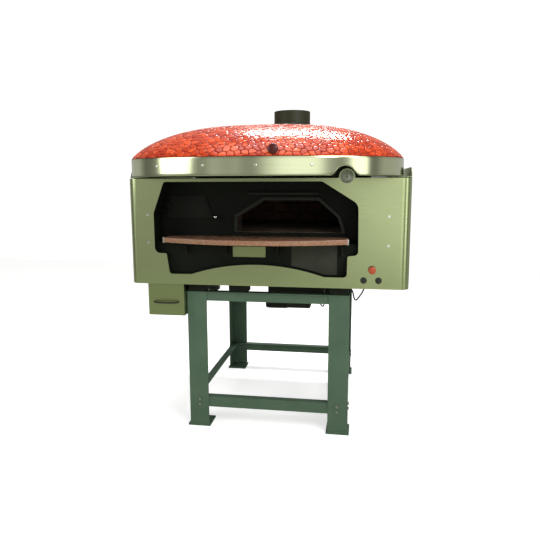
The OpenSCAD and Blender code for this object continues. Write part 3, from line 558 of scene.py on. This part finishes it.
RUBBER = plastic("cable_sheath", (0.016, 0.017, 0.014), (0.026, 0.026, 0.023), 0.62, 120.0)
DIAL_FACE = plastic("dial_face", (0.92, 0.97, 0.76), (0.82, 0.88, 0.68), 0.4, 40.0)
DIAL_INK = plastic("dial_ink", (0.012, 0.014, 0.01), (0.02, 0.022, 0.018), 0.6, 40.0)
NEEDLE_RED = plastic("needle_red", (0.35, 0.03, 0.01), (0.28, 0.02, 0.01), 0.4, 40.0)
GLASS = clear_glass()

dressed = {
    "stand_legs": STAND, "foot_plates": STAND, "top_rails": STAND, "lower_braces": STAND,
    "stand_bolts": TURNED, "spacer_blocks": BLACK, "floor_pan": BLACK, "floor_insulation": BOARD,
    "hearth_floor": HEARTH, "facade_panel": SHEET, "side_panel_left": SIDE, "side_panel_right": SIDE,
    "rear_panel": SIDE, "top_cover": SIDE, "recess_surround": SHADED_RECESS_BLACK, "mouth_plate": SHADED_RECESS_BLACK,
    "mouth_frame": GREY, "firebrick_throats": BRICK, "apron_panel": SHADED_RECESS_BLACK, "access_cover": COVER,
    "label_plate": SHADED_DRAWER_STEEL, "stone_shelf": GRANITE, "shelf_brackets": BLACK, "hood_soffit": BLACK,
    "rim_band": LIT_RIM_STEEL, "rim_screws": POLISHED, "facade_rivets": POLISHED, "dome_shell": GROUT,
    "insulation_blanket": BLANKET, "vault": BRICK, "flue_base": GREY, "flue_pipe": FLUE,
    "damper_rod": TURNED, "damper_blade": GREY, "damper_knob": DARK_RED, "fire_door": BLACK,
    "door_hinge": BLACK, "door_knob": POLISHED, "fire_grate": IRON, "ash_chute": GREY,
    "drawer_housing": SIDE, "ash_drawer": SHADED_DRAWER_STEEL, "drawer_handle": BLACK_PLASTIC, "deck_stone": DECK,
    "deck_carrier": GREY, "bearing_housing": GREY, "shaft_bearings": TURNED, "deck_gear": TURNED,
    "gearmotor": MOTOR, "motor_pinion": TURNED, "drive_tray": BLACK, "control_box": BLACK_PLASTIC,
    "switch_collars": BLACK_PLASTIC, "estop_head": RED_PLASTIC, "start_button": BLACK_PLASTIC,
    "selector_knob": BLACK_PLASTIC, "thermometer_case": DIAL_CASE, "thermometer_needle": NEEDLE_RED,
    "motor_cable": RUBBER, "cable_glands": BLACK_PLASTIC,
}
for name, finish in dressed.items():
    nodes[name].data.materials.clear()
    nodes[name].data.materials.append(finish)

# ---------- rim band ----------


def notch_top(off):
    """Height of the notch's edge, off from the dial's middle: round above, flared at its foot."""
    flare_top, flare_bend = 0.042, 0.053
    if off < flare_top:
        return dial_z + math.sqrt(notch_radius**2 - off**2)
    if off < flare_bend:
        return rim_low.z + 0.018 - 0.012 * (off - flare_top) / (flare_bend - flare_top)
    return rim_low.z + 0.006 - 0.008 * (off - flare_bend) / 0.017


def rim_band():
    """The polished band round the dome's foot, with its two rolled edges and the notch over the dial."""
    columns = []
    for k in range(720):
        a = 2 * math.pi * k / 720
        columns.append((rim_reach(a) * math.cos(a), rim_reach(a) * math.sin(a), a))
    close = [c for c in columns if not (c[1] < 0 and abs(c[0] - dial_x) < notch_half_width + 0.004)]
    for k in range(97):
        x = dial_x - notch_half_width * (1 - k / 48)
        y = -math.sqrt(rim_bow_radius**2 - x * x) + rim_bow_radius - rim_half_depth
        for _ in range(4):
            a = math.atan2(y, x)
            reach = rim_reach(a)
            y = -math.sqrt(max(1e-9, reach**2 - x * x))
        close.append((x, y, math.atan2(y, x)))
    close.sort(key=lambda c: c[2] % (2 * math.pi))
    count, wall = len(close), 0.0026
    verts = []
    for i in range(count):
        x, y, _ = close[i]
        before, after = close[i - 1], close[(i + 1) % count]
        out = Vector((after[1] - before[1], before[0] - after[0], 0)).normalized()
        bottom = rim_low.z
        if y < 0 and abs(x - dial_x) <= notch_half_width:
            bottom = max(bottom, notch_top(abs(x - dial_x)))
        top, round_edge = rim_high.z, 0.0012
        section = []
        for depth, z in (
            (wall, bottom + round_edge), (wall * 0.7, bottom + 0.0002), (round_edge, bottom),
            (0.0003, bottom + 0.0005), (0, bottom + round_edge),
            *[(0, bottom + round_edge + (top - bottom - 2 * round_edge) * t / 8) for t in range(1, 8)],
            (0, top - round_edge), (0.0003, top - 0.0004), (round_edge, top), (wall, top),
            (wall, top - round_edge),
        ):
            section.append(Vector((x, y, z)) - out * depth)
        verts += section
    rows = len(section)
    faces = []
    for i in range(count):
        n = (i + 1) % count
        for r in range(rows):
            s = (r + 1) % rows
            faces.append((i * rows + r, n * rows + r, n * rows + s, i * rows + s))
    made = piece("rim_band_polished", verts, faces, "oven", LIT_RIM_STEEL, "stainless", sharp=40)
    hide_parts("rim_band")


rim_band()

# ---------- mosaic dome ----------

joint_gap = 0.0036
tile_pitch = 0.037
tile_height = 0.0024
tile_rings = ((1.0, tile_height), (1.0, 0.0011), (0.955, 0.0003), (0.80, 0.00012), (0.0, 0.0001))


def arc_table():
    """Share of the way down the dome's side for each share of the way out in plan."""
    steps, run, table = 400, 0.0, [(0.0, 0.0)]
    for i in range(1, steps + 1):
        a, b = (i - 1) / steps, i / steps
        run += math.hypot((b - a) * 0.78, dome_height(b) - dome_height(a))
        table.append((run, b))
    return [(r / run, s) for r, s in table], run


ARC, ARC_LENGTH = arc_table()


def plan_share(t):
    """The share in plan for a share t along the dome's surface."""
    t = min(max(t, 0.0), 1.0)
    low, high = 0, len(ARC) - 1
    while high - low > 1:
        mid = (low + high) // 2
        if ARC[mid][0] <= t:
            low = mid
        else:
            high = mid
    (t0, s0), (t1, s1) = ARC[low], ARC[high]
    return s0 + (s1 - s0) * (t - t0) / max(1e-9, t1 - t0)


def on_dome(u, v, sink):
    """A point of the unrolled dome, put on its surface and sunk below it by sink."""
    a = math.atan2(v, u)
    reach = rim_reach(a)
    t = math.hypot(u, v) / (reach * ARC_LENGTH / 0.78)

    def place(share):
        far = reach * share
        return Vector((math.cos(a) * far, math.sin(a) * far, rim_high.z + dome_height(share)))

    share = plan_share(t)
    here = place(share)
    step = 0.002
    down = place(min(1.0, share + step)) - place(max(0.0, share - step))
    round_rim = Vector((-math.sin(a), math.cos(a), 0))
    out = round_rim.cross(down.normalized()).normalized()
    if out.z < 0:
        out = -out
    return here - out * sink


def clipped(cell, middle, other):
    """The part of a cell that is closer to middle than to other."""
    half = Vector(((middle[0] + other[0]) / 2, (middle[1] + other[1]) / 2))
    away = Vector((other[0] - middle[0], other[1] - middle[1]))
    kept = []
    for i, p in enumerate(cell):
        q = cell[(i + 1) % len(cell)]
        dp, dq = (p - half).dot(away), (q - half).dot(away)
        if dp <= 0:
            kept.append(p)
        if dp * dq < 0:
            kept.append(p + (q - p) * (dp / (dp - dq)))
    return kept


def shrunk(cell, gap):
    """A convex cell moved in on every side by gap, or nothing if it is too small."""
    count, lines = len(cell), []
    for i in range(count):
        p, q = cell[i], cell[(i + 1) % count]
        along = (q - p)
        if along.length < 1e-5:
            continue
        along.normalize()
        inward = Vector((-along.y, along.x))
        lines.append((p + inward * gap, inward))
    kept = [p.copy() for p in cell]
    for base, inward in lines:
        cut = []
        for i, p in enumerate(kept):
            q = kept[(i + 1) % len(kept)]
            dp, dq = (p - base).dot(inward), (q - base).dot(inward)
            if dp >= 0:
                cut.append(p)
            if dp * dq < 0:
                cut.append(p + (q - p) * (dp / (dp - dq)))
        kept = cut
        if len(kept) < 3:
            return []
    return kept


def mosaic():
    """Irregular glazed tiles laid over the dome, each with its own tone."""
    draw = random.Random(11)
    reach_plan = 1.05
    rows = int(reach_plan * 1.12 / (tile_pitch * 0.866)) + 2
    grid = {}
    for row in range(-rows, rows + 1):
        for column in range(-rows - 2, rows + 3):
            u = (column + 0.5 * (row % 2)) * tile_pitch + draw.uniform(-0.33, 0.33) * tile_pitch
            v = row * tile_pitch * 0.866 + draw.uniform(-0.33, 0.33) * tile_pitch
            grid[(row, column)] = (u, v)
    edge_scale = ARC_LENGTH / 0.78
    verts, faces, tones = [], [], []
    for (row, column), middle in grid.items():
        a = math.atan2(middle[1], middle[0])
        limit = rim_reach(a) * edge_scale
        if math.hypot(*middle) > limit + tile_pitch:
            continue
        size = tile_pitch * 1.6
        corners = ((-1, -1), (1, -1), (1, 1), (-1, 1))
        cell = [Vector((middle[0] + sx * size, middle[1] + sy * size)) for sx, sy in corners]
        for dr in range(-2, 3):
            for dc in range(-2, 3):
                other = grid.get((row + dr, column + dc))
                if other and (dr or dc):
                    cell = clipped(cell, middle, other)
                    if len(cell) < 3:
                        break
        cell = shrunk(cell, joint_gap / 2) if len(cell) >= 3 else []
        if len(cell) < 3:
            continue
        kept = []
        for p in cell:
            b = math.atan2(p.y, p.x)
            far = rim_reach(b) * edge_scale - 0.0035
            kept.append(p * (far / p.length) if p.length > far else p)
        area = abs(sum(kept[i].cross(kept[(i + 1) % len(kept)]) for i in range(len(kept)))) / 2
        if area < 0.00012:
            continue
        heart = sum(kept, Vector((0, 0))) / len(kept)
        spot = on_dome(heart.x, heart.y, 0)
        from_flue = math.hypot(spot.x - flue_x, spot.y - flue_y)
        if from_flue < flue_radius + 0.012:
            continue
        fine = []
        for i, p in enumerate(kept):
            q = kept[(i + 1) % len(kept)]
            corner_in, corner_out = p + (q - p) * 0.14, p + (q - p) * 0.86
            fine += [corner_in, corner_out]
        tone = draw.random()
        if draw.random() < 0.16:
            tone = min(1.0, tone + 0.6)
        tilt = Vector((draw.uniform(-1, 1), draw.uniform(-1, 1))) * 0.010
        first, ring = len(verts), len(fine)
        for inset, sink in tile_rings:
            points = fine if inset else [heart]
            for p in points:
                q = heart + (p - heart) * inset
                slope = (q - heart).dot(tilt)
                if sink < tile_height:
                    sink_here = max(0.0, sink + 0.0004 + slope)
                else:
                    sink_here = sink + 0.0004
                near = on_dome(q.x, q.y, sink_here)
                gap = math.hypot(near.x - flue_x, near.y - flue_y)
                clear = flue_radius + 0.010
                if gap < clear:
                    push = clear / max(gap, 1e-6)
                    near.x = flue_x + (near.x - flue_x) * push
                    near.y = flue_y + (near.y - flue_y) * push
                verts.append(near)
                tones.append(tone)
        faces += between_rings(4, ring, first)
        crown = first + 4 * ring
        for i in range(ring):
            faces.append((first + 3 * ring + i, first + 3 * ring + (i + 1) % ring, crown))
    mesh = bpy.data.meshes.new("dome_mosaic")
    mesh.from_pydata([tuple(v) for v in verts], [], faces)
    attribute = mesh.attributes.new("tile_tone", "FLOAT", "POINT")
    attribute.data.foreach_set("value", tones)
    mesh.shade_smooth()
    mesh.set_sharp_from_angle(angle=math.radians(50))
    made = bpy.data.objects.new("dome_mosaic", mesh)
    bpy.context.scene.collection.objects.link(made)
    mesh.materials.append(GLAZE)
    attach(made, "oven")
    return made


def dome_bed():
    """The bed of joint mortar under the tiles, open where the flue passes."""
    around, down = 288, 60
    verts, faces = [], []
    lip = 0.0028
    for i in range(down + 1):
        share = math.sin(math.pi / 2 * i / down)
        for k in range(around):
            a = 2 * math.pi * k / around
            reach = rim_reach(a) - lip
            rise = (dome_rise - lip * 0.4) / dome_rise * dome_height(share)
            far = reach * share
            verts.append(Vector((math.cos(a) * far, math.sin(a) * far, rim_high.z - lip * 0.6 + rise)))
    for i in range(down):
        for k in range(around):
            n = (k + 1) % around
            if i == 0:
                faces.append((k, around + k, around + n))
            else:
                faces.append((i * around + k, (i + 1) * around + k, (i + 1) * around + n, i * around + n))
    kept = []
    for f in faces:
        middle = sum((verts[i] for i in f), Vector()) / len(f)
        if math.hypot(middle.x - flue_x, middle.y - flue_y) > flue_radius + 0.003:
            kept.append(f)
    made = piece("dome_bed", verts, kept, "oven", GROUT, "mosaic")
    thick = made.modifiers.new("thickness", "SOLIDIFY")
    thick.thickness = 0.018
    thick.offset = -1
    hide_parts("dome_shell")


mosaic()
dome_bed()


def flue():
    """Flue pipe with a rolled edge, and the collar that seals it to the dome."""
    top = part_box("flue_pipe")[1].z
    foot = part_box("flue_pipe")[0].z
    r, wall = flue_radius, 0.0038
    outer = [
        (r - wall, foot), (r, foot), (r, top - 0.006), (r, top - 0.0035),
        (r - 0.0006, top - 0.0012), (r - 0.0018, top),
    ]
    inner = [(r - wall, top - 0.001), (r - wall, foot)]
    pipe = turned(outer + inner, (flue_x, flue_y, 0), (0, 0, 1), 128)
    made = piece("flue_pipe_rolled", *pipe, "oven", FLUE, "grey_steel", sharp=30)
    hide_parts("flue_pipe")
    steps = 96
    verts, faces = [], []
    section = [
        (0.0005, -0.006), (0.0005, 0.010), (0.0035, 0.009),
        (0.0085, 0.0045), (0.0120, 0.0005), (0.0120, -0.006),
    ]
    for k in range(steps):
        a = 2 * math.pi * k / steps
        for off, up in section:
            x = flue_x + math.cos(a) * (r + off)
            y = flue_y + math.sin(a) * (r + off)
            verts.append(Vector((x, y, on_dome_height(x, y) + up - 0.001)))
    n = len(section)
    for k in range(steps):
        m = (k + 1) % steps
        for i in range(n):
            j = (i + 1) % n
            faces.append((k * n + i, m * n + i, m * n + j, k * n + j))
    piece("flue_collar_seal", verts, faces, "oven", RUBBER, "grey_steel")


def on_dome_height(x, y):
    share = min(1.0, math.hypot(x, y) / rim_reach(math.atan2(y, x)))
    return rim_high.z + dome_height(share)


flue()

# ---------- shelf ----------


def shelf():
    """Stone shelf with a long bowed front and eased edges."""
    low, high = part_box("stone_shelf")
    back, bow = high.y, 0.118
    half = (high.x - low.x) / 2
    radius = (half * half + bow * bow) / (2 * bow)
    reach = math.asin(half / radius)
    middle = (low.x + high.x) / 2
    outline = []
    for i in range(-48, 49):
        a = reach * i / 48
        outline.append((middle + radius * math.sin(a), low.y + radius - radius * math.cos(a)))
    outline += [(high.x, back), (low.x, back)]
    stone = slab(outline, low.z, high.z, 0.0035)
    made = piece("shelf_stone_slab", *stone, "oven", GRANITE, "shelf_stone", sharp=50)
    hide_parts("stone_shelf")


shelf()

# ---------- controls, dial and knobs ----------

stop_low, stop_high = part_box("estop_head")
stop_x, stop_z = (stop_low.x + stop_high.x) / 2, (stop_low.z + stop_high.z) / 2


def stop_head():
    """Mushroom head of the emergency stop, with a waist and turned crown."""
    d = stop_low.y
    reach = (stop_high.x - stop_low.x) / 2
    stem = 0.010
    profile = [
        (0.0, 0.0), (reach * 0.40, 0.0004), (reach * 0.72, 0.0018), (reach * 0.92, 0.0045),
        (reach * 0.995, 0.0078), (reach, 0.0110), (reach * 0.96, 0.0138), (reach * 0.80, 0.0152),
        (stem, 0.0156), (stem, stop_high.y - d), (0.0, stop_high.y - d),
    ]
    head = turned(profile, (stop_x, d, stop_z), FRONT_AXIS, 72)
    made = piece("stop_mushroom_head", *head, "emergency_stop", RED_PLASTIC, "red_plastic")
    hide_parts("estop_head")


def start_head():
    low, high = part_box("start_button")
    r = (high.x - low.x) / 2
    x, z = (low.x + high.x) / 2, (low.z + high.z) / 2
    profile = [
        (0.0, 0.0009), (r * 0.5, 0.0005), (r * 0.78, 0.0002), (r * 0.9, 0.0),
        (r * 0.97, 0.0006), (r, 0.0018), (r, high.y - low.y), (0.0, high.y - low.y),
    ]
    cap = turned(profile, (x, low.y, z), FRONT_AXIS, 64)
    made = piece("start_button_cap", *cap, "start_button", BLACK_PLASTIC, "black_plastic")
    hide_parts("start_button")


def dial():
    """Thermometer face with its scale marks, bezel ring and domed glass."""
    face_y = front_y - 0.0044
    low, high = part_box("thermometer_case")
    reach = (high.x - low.x) / 2
    spot = (dial_x, face_y + 0.0001, dial_z)
    face = turned([(0.0, 0.0), (0.0312, 0.0), (0.0312, 0.0012), (0.0, 0.0012)], spot, FRONT_AXIS, 72)
    piece("dial_face_disc", *face, "oven", DIAL_FACE, "dial_steel")
    box_faces = [(0, 1, 2, 3), (4, 5, 6, 7), (0, 1, 5, 4), (1, 2, 6, 5), (2, 3, 7, 6), (3, 0, 4, 7)]
    ticks = []
    for k in range(31):
        a = math.radians(135 - 270 * k / 30)
        long_one = k % 5 == 0
        inner, outer = (0.0215 if long_one else 0.0245), 0.0280
        wide = 0.0008 if long_one else 0.0004
        out = Vector((math.sin(a), 0, math.cos(a)))
        side = Vector((math.cos(a), 0, -math.sin(a)))
        base = Vector((dial_x, face_y - 0.0001, dial_z))
        corners = []
        for depth in (0.0, -0.0002):
            for reach_out, sideways in ((inner, -wide), (inner, wide), (outer, wide), (outer, -wide)):
                corners.append(base + out * reach_out + side * sideways + Vector((0, depth, 0)))
        ticks.append((corners, box_faces))
    piece("dial_scale_marks", *gather(ticks), "oven", DIAL_INK, "black_plastic", smooth=False)
    r = reach - 0.0036
    glass = [
        (0.0, -0.0024), (r * 0.4, -0.0022), (r * 0.75, -0.0014), (r, 0.0),
        (r, 0.0012), (r * 0.75, -0.0003), (0.0, -0.0012),
    ]
    lens = turned(glass, (dial_x, low.y + 0.0030, dial_z), FRONT_AXIS, 72)
    piece("dial_glass_lens", *lens, "oven", GLASS, "dial_steel")
    bore = reach - 0.0042
    bezel = [
        (bore, 0.0016), (reach - 0.0036, 0.0004), (reach - 0.0022, 0.0), (reach - 0.0008, 0.0005),
        (reach, 0.0020), (reach, 0.0050), (bore, 0.0050), (bore, 0.0016),
    ]
    ring = turned(bezel, (dial_x, low.y, dial_z), FRONT_AXIS, 96)
    piece("dial_bezel_ring", *ring, "oven", DIAL_CASE, "dial_steel")


def damper_ball():
    low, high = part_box("damper_knob")
    x, z = (low.x + high.x) / 2, (low.z + high.z) / 2
    r, length = (high.x - low.x) / 2, high.y - low.y
    profile = [
        (0.0, 0.0), (r * 0.45, 0.0004), (r * 0.78, 0.0022), (r * 0.95, 0.0055), (r, 0.0090),
        (r * 0.93, 0.0124), (r * 0.74, 0.0148), (r * 0.52, 0.0160), (r * 0.43, 0.0176),
        (r * 0.45, length), (0.0, length),
    ]
    ball = turned(profile, (x, low.y, z), FRONT_AXIS, 64)
    made = piece("damper_knob_turned", *ball, "damper", DARK_RED, "dark_red_plastic")
    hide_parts("damper_knob")


def drawer_pull():
    """Curved bar across the ash drawer, with its two feet."""
    low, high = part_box("drawer_handle")
    middle, z = (low.x + high.x) / 2, (low.z + high.z) / 2
    r = (high.z - low.z) / 2
    half = (high.x - low.x) / 2 - r
    reach = high.y - low.y - r
    path = []
    for i in range(61):
        t = -1 + 2 * i / 60
        path.append((middle + t * half, high.y - reach * (1 - abs(t) ** 8) - 0.0003, z))
    made = piece("drawer_pull_bar", *swept(path, r * 0.98, 20), "ash_drawer", BLACK_PLASTIC, "black_plastic")
    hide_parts("drawer_handle")


def screw_heads():
    """Domed socket screws round the rim and rivets on the front."""
    profile = [
        (0.0065, -0.0005), (0.0065, 0.0004), (0.0058, 0.0014), (0.0042, 0.0021),
        (0.0026, 0.0023), (0.0024, 0.0008), (0.0, 0.0008),
    ]
    parts = []
    offset = rim_bow_radius - rim_half_depth
    for x in (-0.456, -0.209, 0.039, 0.285):
        for side in (-1, 1):
            y = side * (math.sqrt(rim_bow_radius**2 - x * x) - offset)
            out = Vector((x / rim_bow_radius, side * math.sqrt(1 - (x / rim_bow_radius) ** 2), 0))
            a = math.atan2(y, x)
            base = Vector((rim_reach(a) * math.cos(a), rim_reach(a) * math.sin(a), rim_low.z + 0.046))
            parts.append(turned(profile, base, out, 24))
    made = piece("rim_socket_screws", *gather(parts), "oven", POLISHED, "polished_steel")
    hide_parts("rim_screws")
    parts = []
    profile = [(0.0050, 0.0008), (0.0048, 0.0003), (0.0036, -0.0005), (0.0018, -0.0009), (0.0, -0.0010)]
    for x in (-0.649, 0.649):
        for z in (1.078, 1.229):
            parts.append(turned(profile, (x, front_y - 0.0008, z), FRONT_AXIS, 24))
    piece("front_rivet_domes", *gather(parts), "oven", POLISHED, "polished_steel")


def door_pull():
    """Round steel knob of the fire door on its black arm."""
    low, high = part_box("door_knob")
    r = 0.012
    x, z = high.x - r, (low.z + high.z) / 2
    ball = [(0.0, 0.0)]
    for i in range(1, 13):
        a = math.pi * i / 16
        ball.append((r * math.sin(a), r - r * math.cos(a)))
    stem_end = high.y - low.y - 0.004
    ball += [(0.0052, r * 2 - 0.0015), (0.0040, r * 2), (0.0040, stem_end), (0.0, stem_end)]
    knob = turned(ball, (x, low.y, z), FRONT_AXIS, 40)
    made = piece("door_knob_ball", *knob, "fire_door", POLISHED, "polished_steel")
    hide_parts("door_knob")
    bar = [
        (low.x, z - 0.005), (x - 0.006, z - 0.005), (x + 0.006, z - 0.003),
        (x + 0.006, z + 0.003), (x - 0.006, z + 0.005), (low.x, z + 0.005),
    ]
    arm_verts, arm_faces = slab(bar, -high.y, -(high.y - 0.008), 0.0012)
    arm = [Vector((p.x, -p.z, p.y)) for p in arm_verts]
    piece("door_knob_arm", arm, arm_faces, "fire_door", BLACK, "black_steel")


def shelf_clips():
    """Small steel clips that hold the two tips of the shelf."""
    low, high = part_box("stone_shelf")
    parts = []
    for tip, inward in ((low.x, 1), (high.x, -1)):
        y0, y1 = front_y - 0.0018, front_y + 0.022
        near, far = tip - inward * 0.0014, tip + inward * 0.012
        outline = [(min(near, far), y0), (max(near, far), y0), (max(near, far), y1), (min(near, far), y1)]
        parts.append(slab(outline, low.z - 0.0014, high.z + 0.0014, 0.0010))
    piece("shelf_end_clips", *gather(parts), "oven", POLISHED, "polished_steel")


def weld_beads():
    """Rippled fillet welds where each leg stands on its foot plate."""
    low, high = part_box("stand_legs")
    draw = random.Random(5)
    leg_width, foot_top = 0.112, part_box("foot_plates")[1].z
    parts = []
    for sx in (-1, 1):
        for sy in (-1, 1):
            corner_x = high.x if sx > 0 else low.x
            corner_y = high.y if sy > 0 else low.y
            path, radii = [], []
            for i in range(112):
                along = i / 111 * 2 * leg_width
                if along < leg_width:
                    spot = (corner_x - sx * (leg_width - along), corner_y, foot_top)
                else:
                    spot = (corner_x, corner_y - sy * (along - leg_width), foot_top)
                path.append(spot)
                radii.append(0.0032 + 0.0006 * math.sin(i * 1.7) + draw.uniform(-0.0003, 0.0003))
            parts.append(swept(path, radii, 10))
    piece("stand_weld_beads", *gather(parts), "oven", STAND, "green_paint")


door_pull()
shelf_clips()
weld_beads()
stop_head()
start_head()
dial()
damper_ball()
drawer_pull()
screw_heads()

# ---------- camera, lights and floor ----------


def camera():
    made = bpy.data.cameras.new("front_view")
    made.lens = 37.0
    made.sensor_width = 36.0
    seat = bpy.data.objects.new("front_view", made)
    yaw, pitch, roll = 0.16, 0.16, -0.0037
    ahead = Vector((-math.sin(yaw) * math.cos(pitch), math.cos(yaw) * math.cos(pitch), -math.sin(pitch)))
    right = Vector((math.cos(yaw), math.sin(yaw), 0))
    up = right.cross(ahead)
    turn = Matrix((right, up, -ahead)).transposed()
    turn = turn @ Matrix.Rotation(roll, 3, "Z")
    seat.matrix_world = Matrix.Translation((0.4985, -3.2956, 1.4135)) @ turn.to_4x4()
    bpy.context.scene.collection.objects.link(seat)
    bpy.context.scene.camera = seat


def softbox(name, place, aim, width, height, power):
    made = bpy.data.lights.new(name, "AREA")
    made.shape = "RECTANGLE"
    made.size, made.size_y = width, height
    made.energy = power
    lamp = bpy.data.objects.new(name, made)
    lamp.location = place
    lamp.rotation_euler = (Vector(aim) - Vector(place)).to_track_quat("-Z", "Y").to_euler()
    bpy.context.scene.collection.objects.link(lamp)


def studio():
    """White room ringed by soft bright and dark strips, so that the steel has something to reflect."""
    world = bpy.data.worlds.new("studio")
    bpy.context.scene.world = world
    world.use_nodes = True
    tree = world.node_tree
    tree.nodes.clear()
    out = node(tree, "ShaderNodeOutputWorld")
    plain = node(tree, "ShaderNodeBackground")
    plain.inputs["Color"].default_value = (1, 1, 1, 1)
    plain.inputs["Strength"].default_value = 1.1
    room = node(tree, "ShaderNodeBackground")
    seen = node(tree, "ShaderNodeLightPath")
    choose = node(tree, "ShaderNodeMixShader")
    place = node(tree, "ShaderNodeTexCoord")
    split = node(tree, "ShaderNodeSeparateXYZ")
    turn = node(tree, "ShaderNodeMath", operation="ARCTAN2")
    back = node(tree, "ShaderNodeMath", operation="MULTIPLY")
    back.inputs[1].default_value = -1.0
    spread = node(tree, "ShaderNodeMapRange")
    spread.inputs["From Min"].default_value = -math.pi
    spread.inputs["From Max"].default_value = math.pi
    ramp = node(tree, "ShaderNodeValToRGB")
    tree.links.new(place.outputs["Generated"], split.inputs[0])
    tree.links.new(split.outputs["Y"], back.inputs[0])
    tree.links.new(split.outputs["X"], turn.inputs[0])
    tree.links.new(back.outputs[0], turn.inputs[1])
    tree.links.new(turn.outputs[0], spread.inputs["Value"])
    tree.links.new(spread.outputs["Result"], ramp.inputs["Fac"])
    tree.links.new(ramp.outputs["Color"], room.inputs["Color"])
    height = node(tree, "ShaderNodeValToRGB")
    height.color_ramp.elements[0].position = 0.30
    height.color_ramp.elements[0].color = (0.45, 0.45, 0.45, 1)
    height.color_ramp.elements[1].position = 0.50
    height.color_ramp.elements[1].color = (1, 1, 1, 1)
    dim = height.color_ramp.elements.new(0.72)
    dim.color = (0.5, 0.5, 0.5, 1)
    lift = node(tree, "ShaderNodeMapRange")
    lift.inputs["From Min"].default_value = -1.0
    tree.links.new(split.outputs["Z"], lift.inputs["Value"])
    tree.links.new(lift.outputs["Result"], height.inputs["Fac"])
    tree.links.new(height.outputs["Color"], room.inputs["Strength"])
    strips = [
        (-180, 0.5), (-105, 0.5), (-88, 0.16), (-70, 0.24), (-64, 0.72), (-45, 0.72), (-41, 0.26),
        (-35, 0.26), (-31, 0.62), (-25, 0.50), (-21, 0.44), (-17, 0.58), (-13, 0.34), (-7, 0.36),
        (-2, 0.85), (5, 1.35), (12, 1.5), (26, 1.45), (32, 0.5),
        (41, 0.26), (47, 0.5), (53, 2.1), (68, 2.1), (73, 0.25), (82, 0.2), (100, 0.5), (180, 0.5),
    ]
    elements = ramp.color_ramp.elements
    for k, (angle, _) in enumerate(strips):
        position = (angle + 180) / 360
        mark = elements[k] if k < 2 else elements.new(position)
        mark.position = position
    for mark, (_, value) in zip(sorted(elements, key=lambda e: e.position), strips):
        mark.color = (value, value, value * 0.97, 1)
    tree.links.new(seen.outputs["Is Camera Ray"], choose.inputs["Fac"])
    tree.links.new(room.outputs[0], choose.inputs[1])
    tree.links.new(plain.outputs[0], choose.inputs[2])
    tree.links.new(choose.outputs[0], out.inputs["Surface"])


def floor():
    bpy.ops.mesh.primitive_grid_add(x_subdivisions=2, y_subdivisions=2, size=12)
    ground = bpy.context.object
    ground.name = "studio_floor"
    pale = Finish("pale_floor", roughness=0.85, specular=0.1)
    cloth = pale.use(MOTTLE, Scale=0.6)
    bright = pale.blend(cloth.outputs["Patches"], (0.96, 0.96, 0.955), (0.98, 0.98, 0.975))
    seen = pale.tree.nodes.new("ShaderNodeLightPath").outputs["Is Camera Ray"]
    pale.colour(pale.blend(seen, (0.62, 0.65, 0.54), bright))
    glow = pale.blend(seen, (0.0, 0.0, 0.0), (0.62, 0.62, 0.62))
    pale.tree.links.new(glow, pale.shader.inputs["Emission Color"])
    pale.shader.inputs["Emission Strength"].default_value = 1.0
    ground.data.materials.append(pale.made)


camera()
studio()
floor()
softbox("key_right", (2.6, -3.2, 3.2), (0.1, -0.2, 1.0), 2.0, 2.0, 95)
softbox("fill_left", (-3.0, -2.6, 2.4), (0, 0, 1.0), 1.6, 2.0, 30)
softbox("overhead", (0.0, -0.4, 4.4), (0, 0, 1.0), 2.6, 2.2, 60)
softbox("window_strip", (0.02, 2.06, 3.75), (0.2, -0.65, 1.63), 1.5, 0.26, 95)
bpy.context.scene.view_settings.view_transform = "Standard"
bpy.context.scene.view_settings.look = "None"
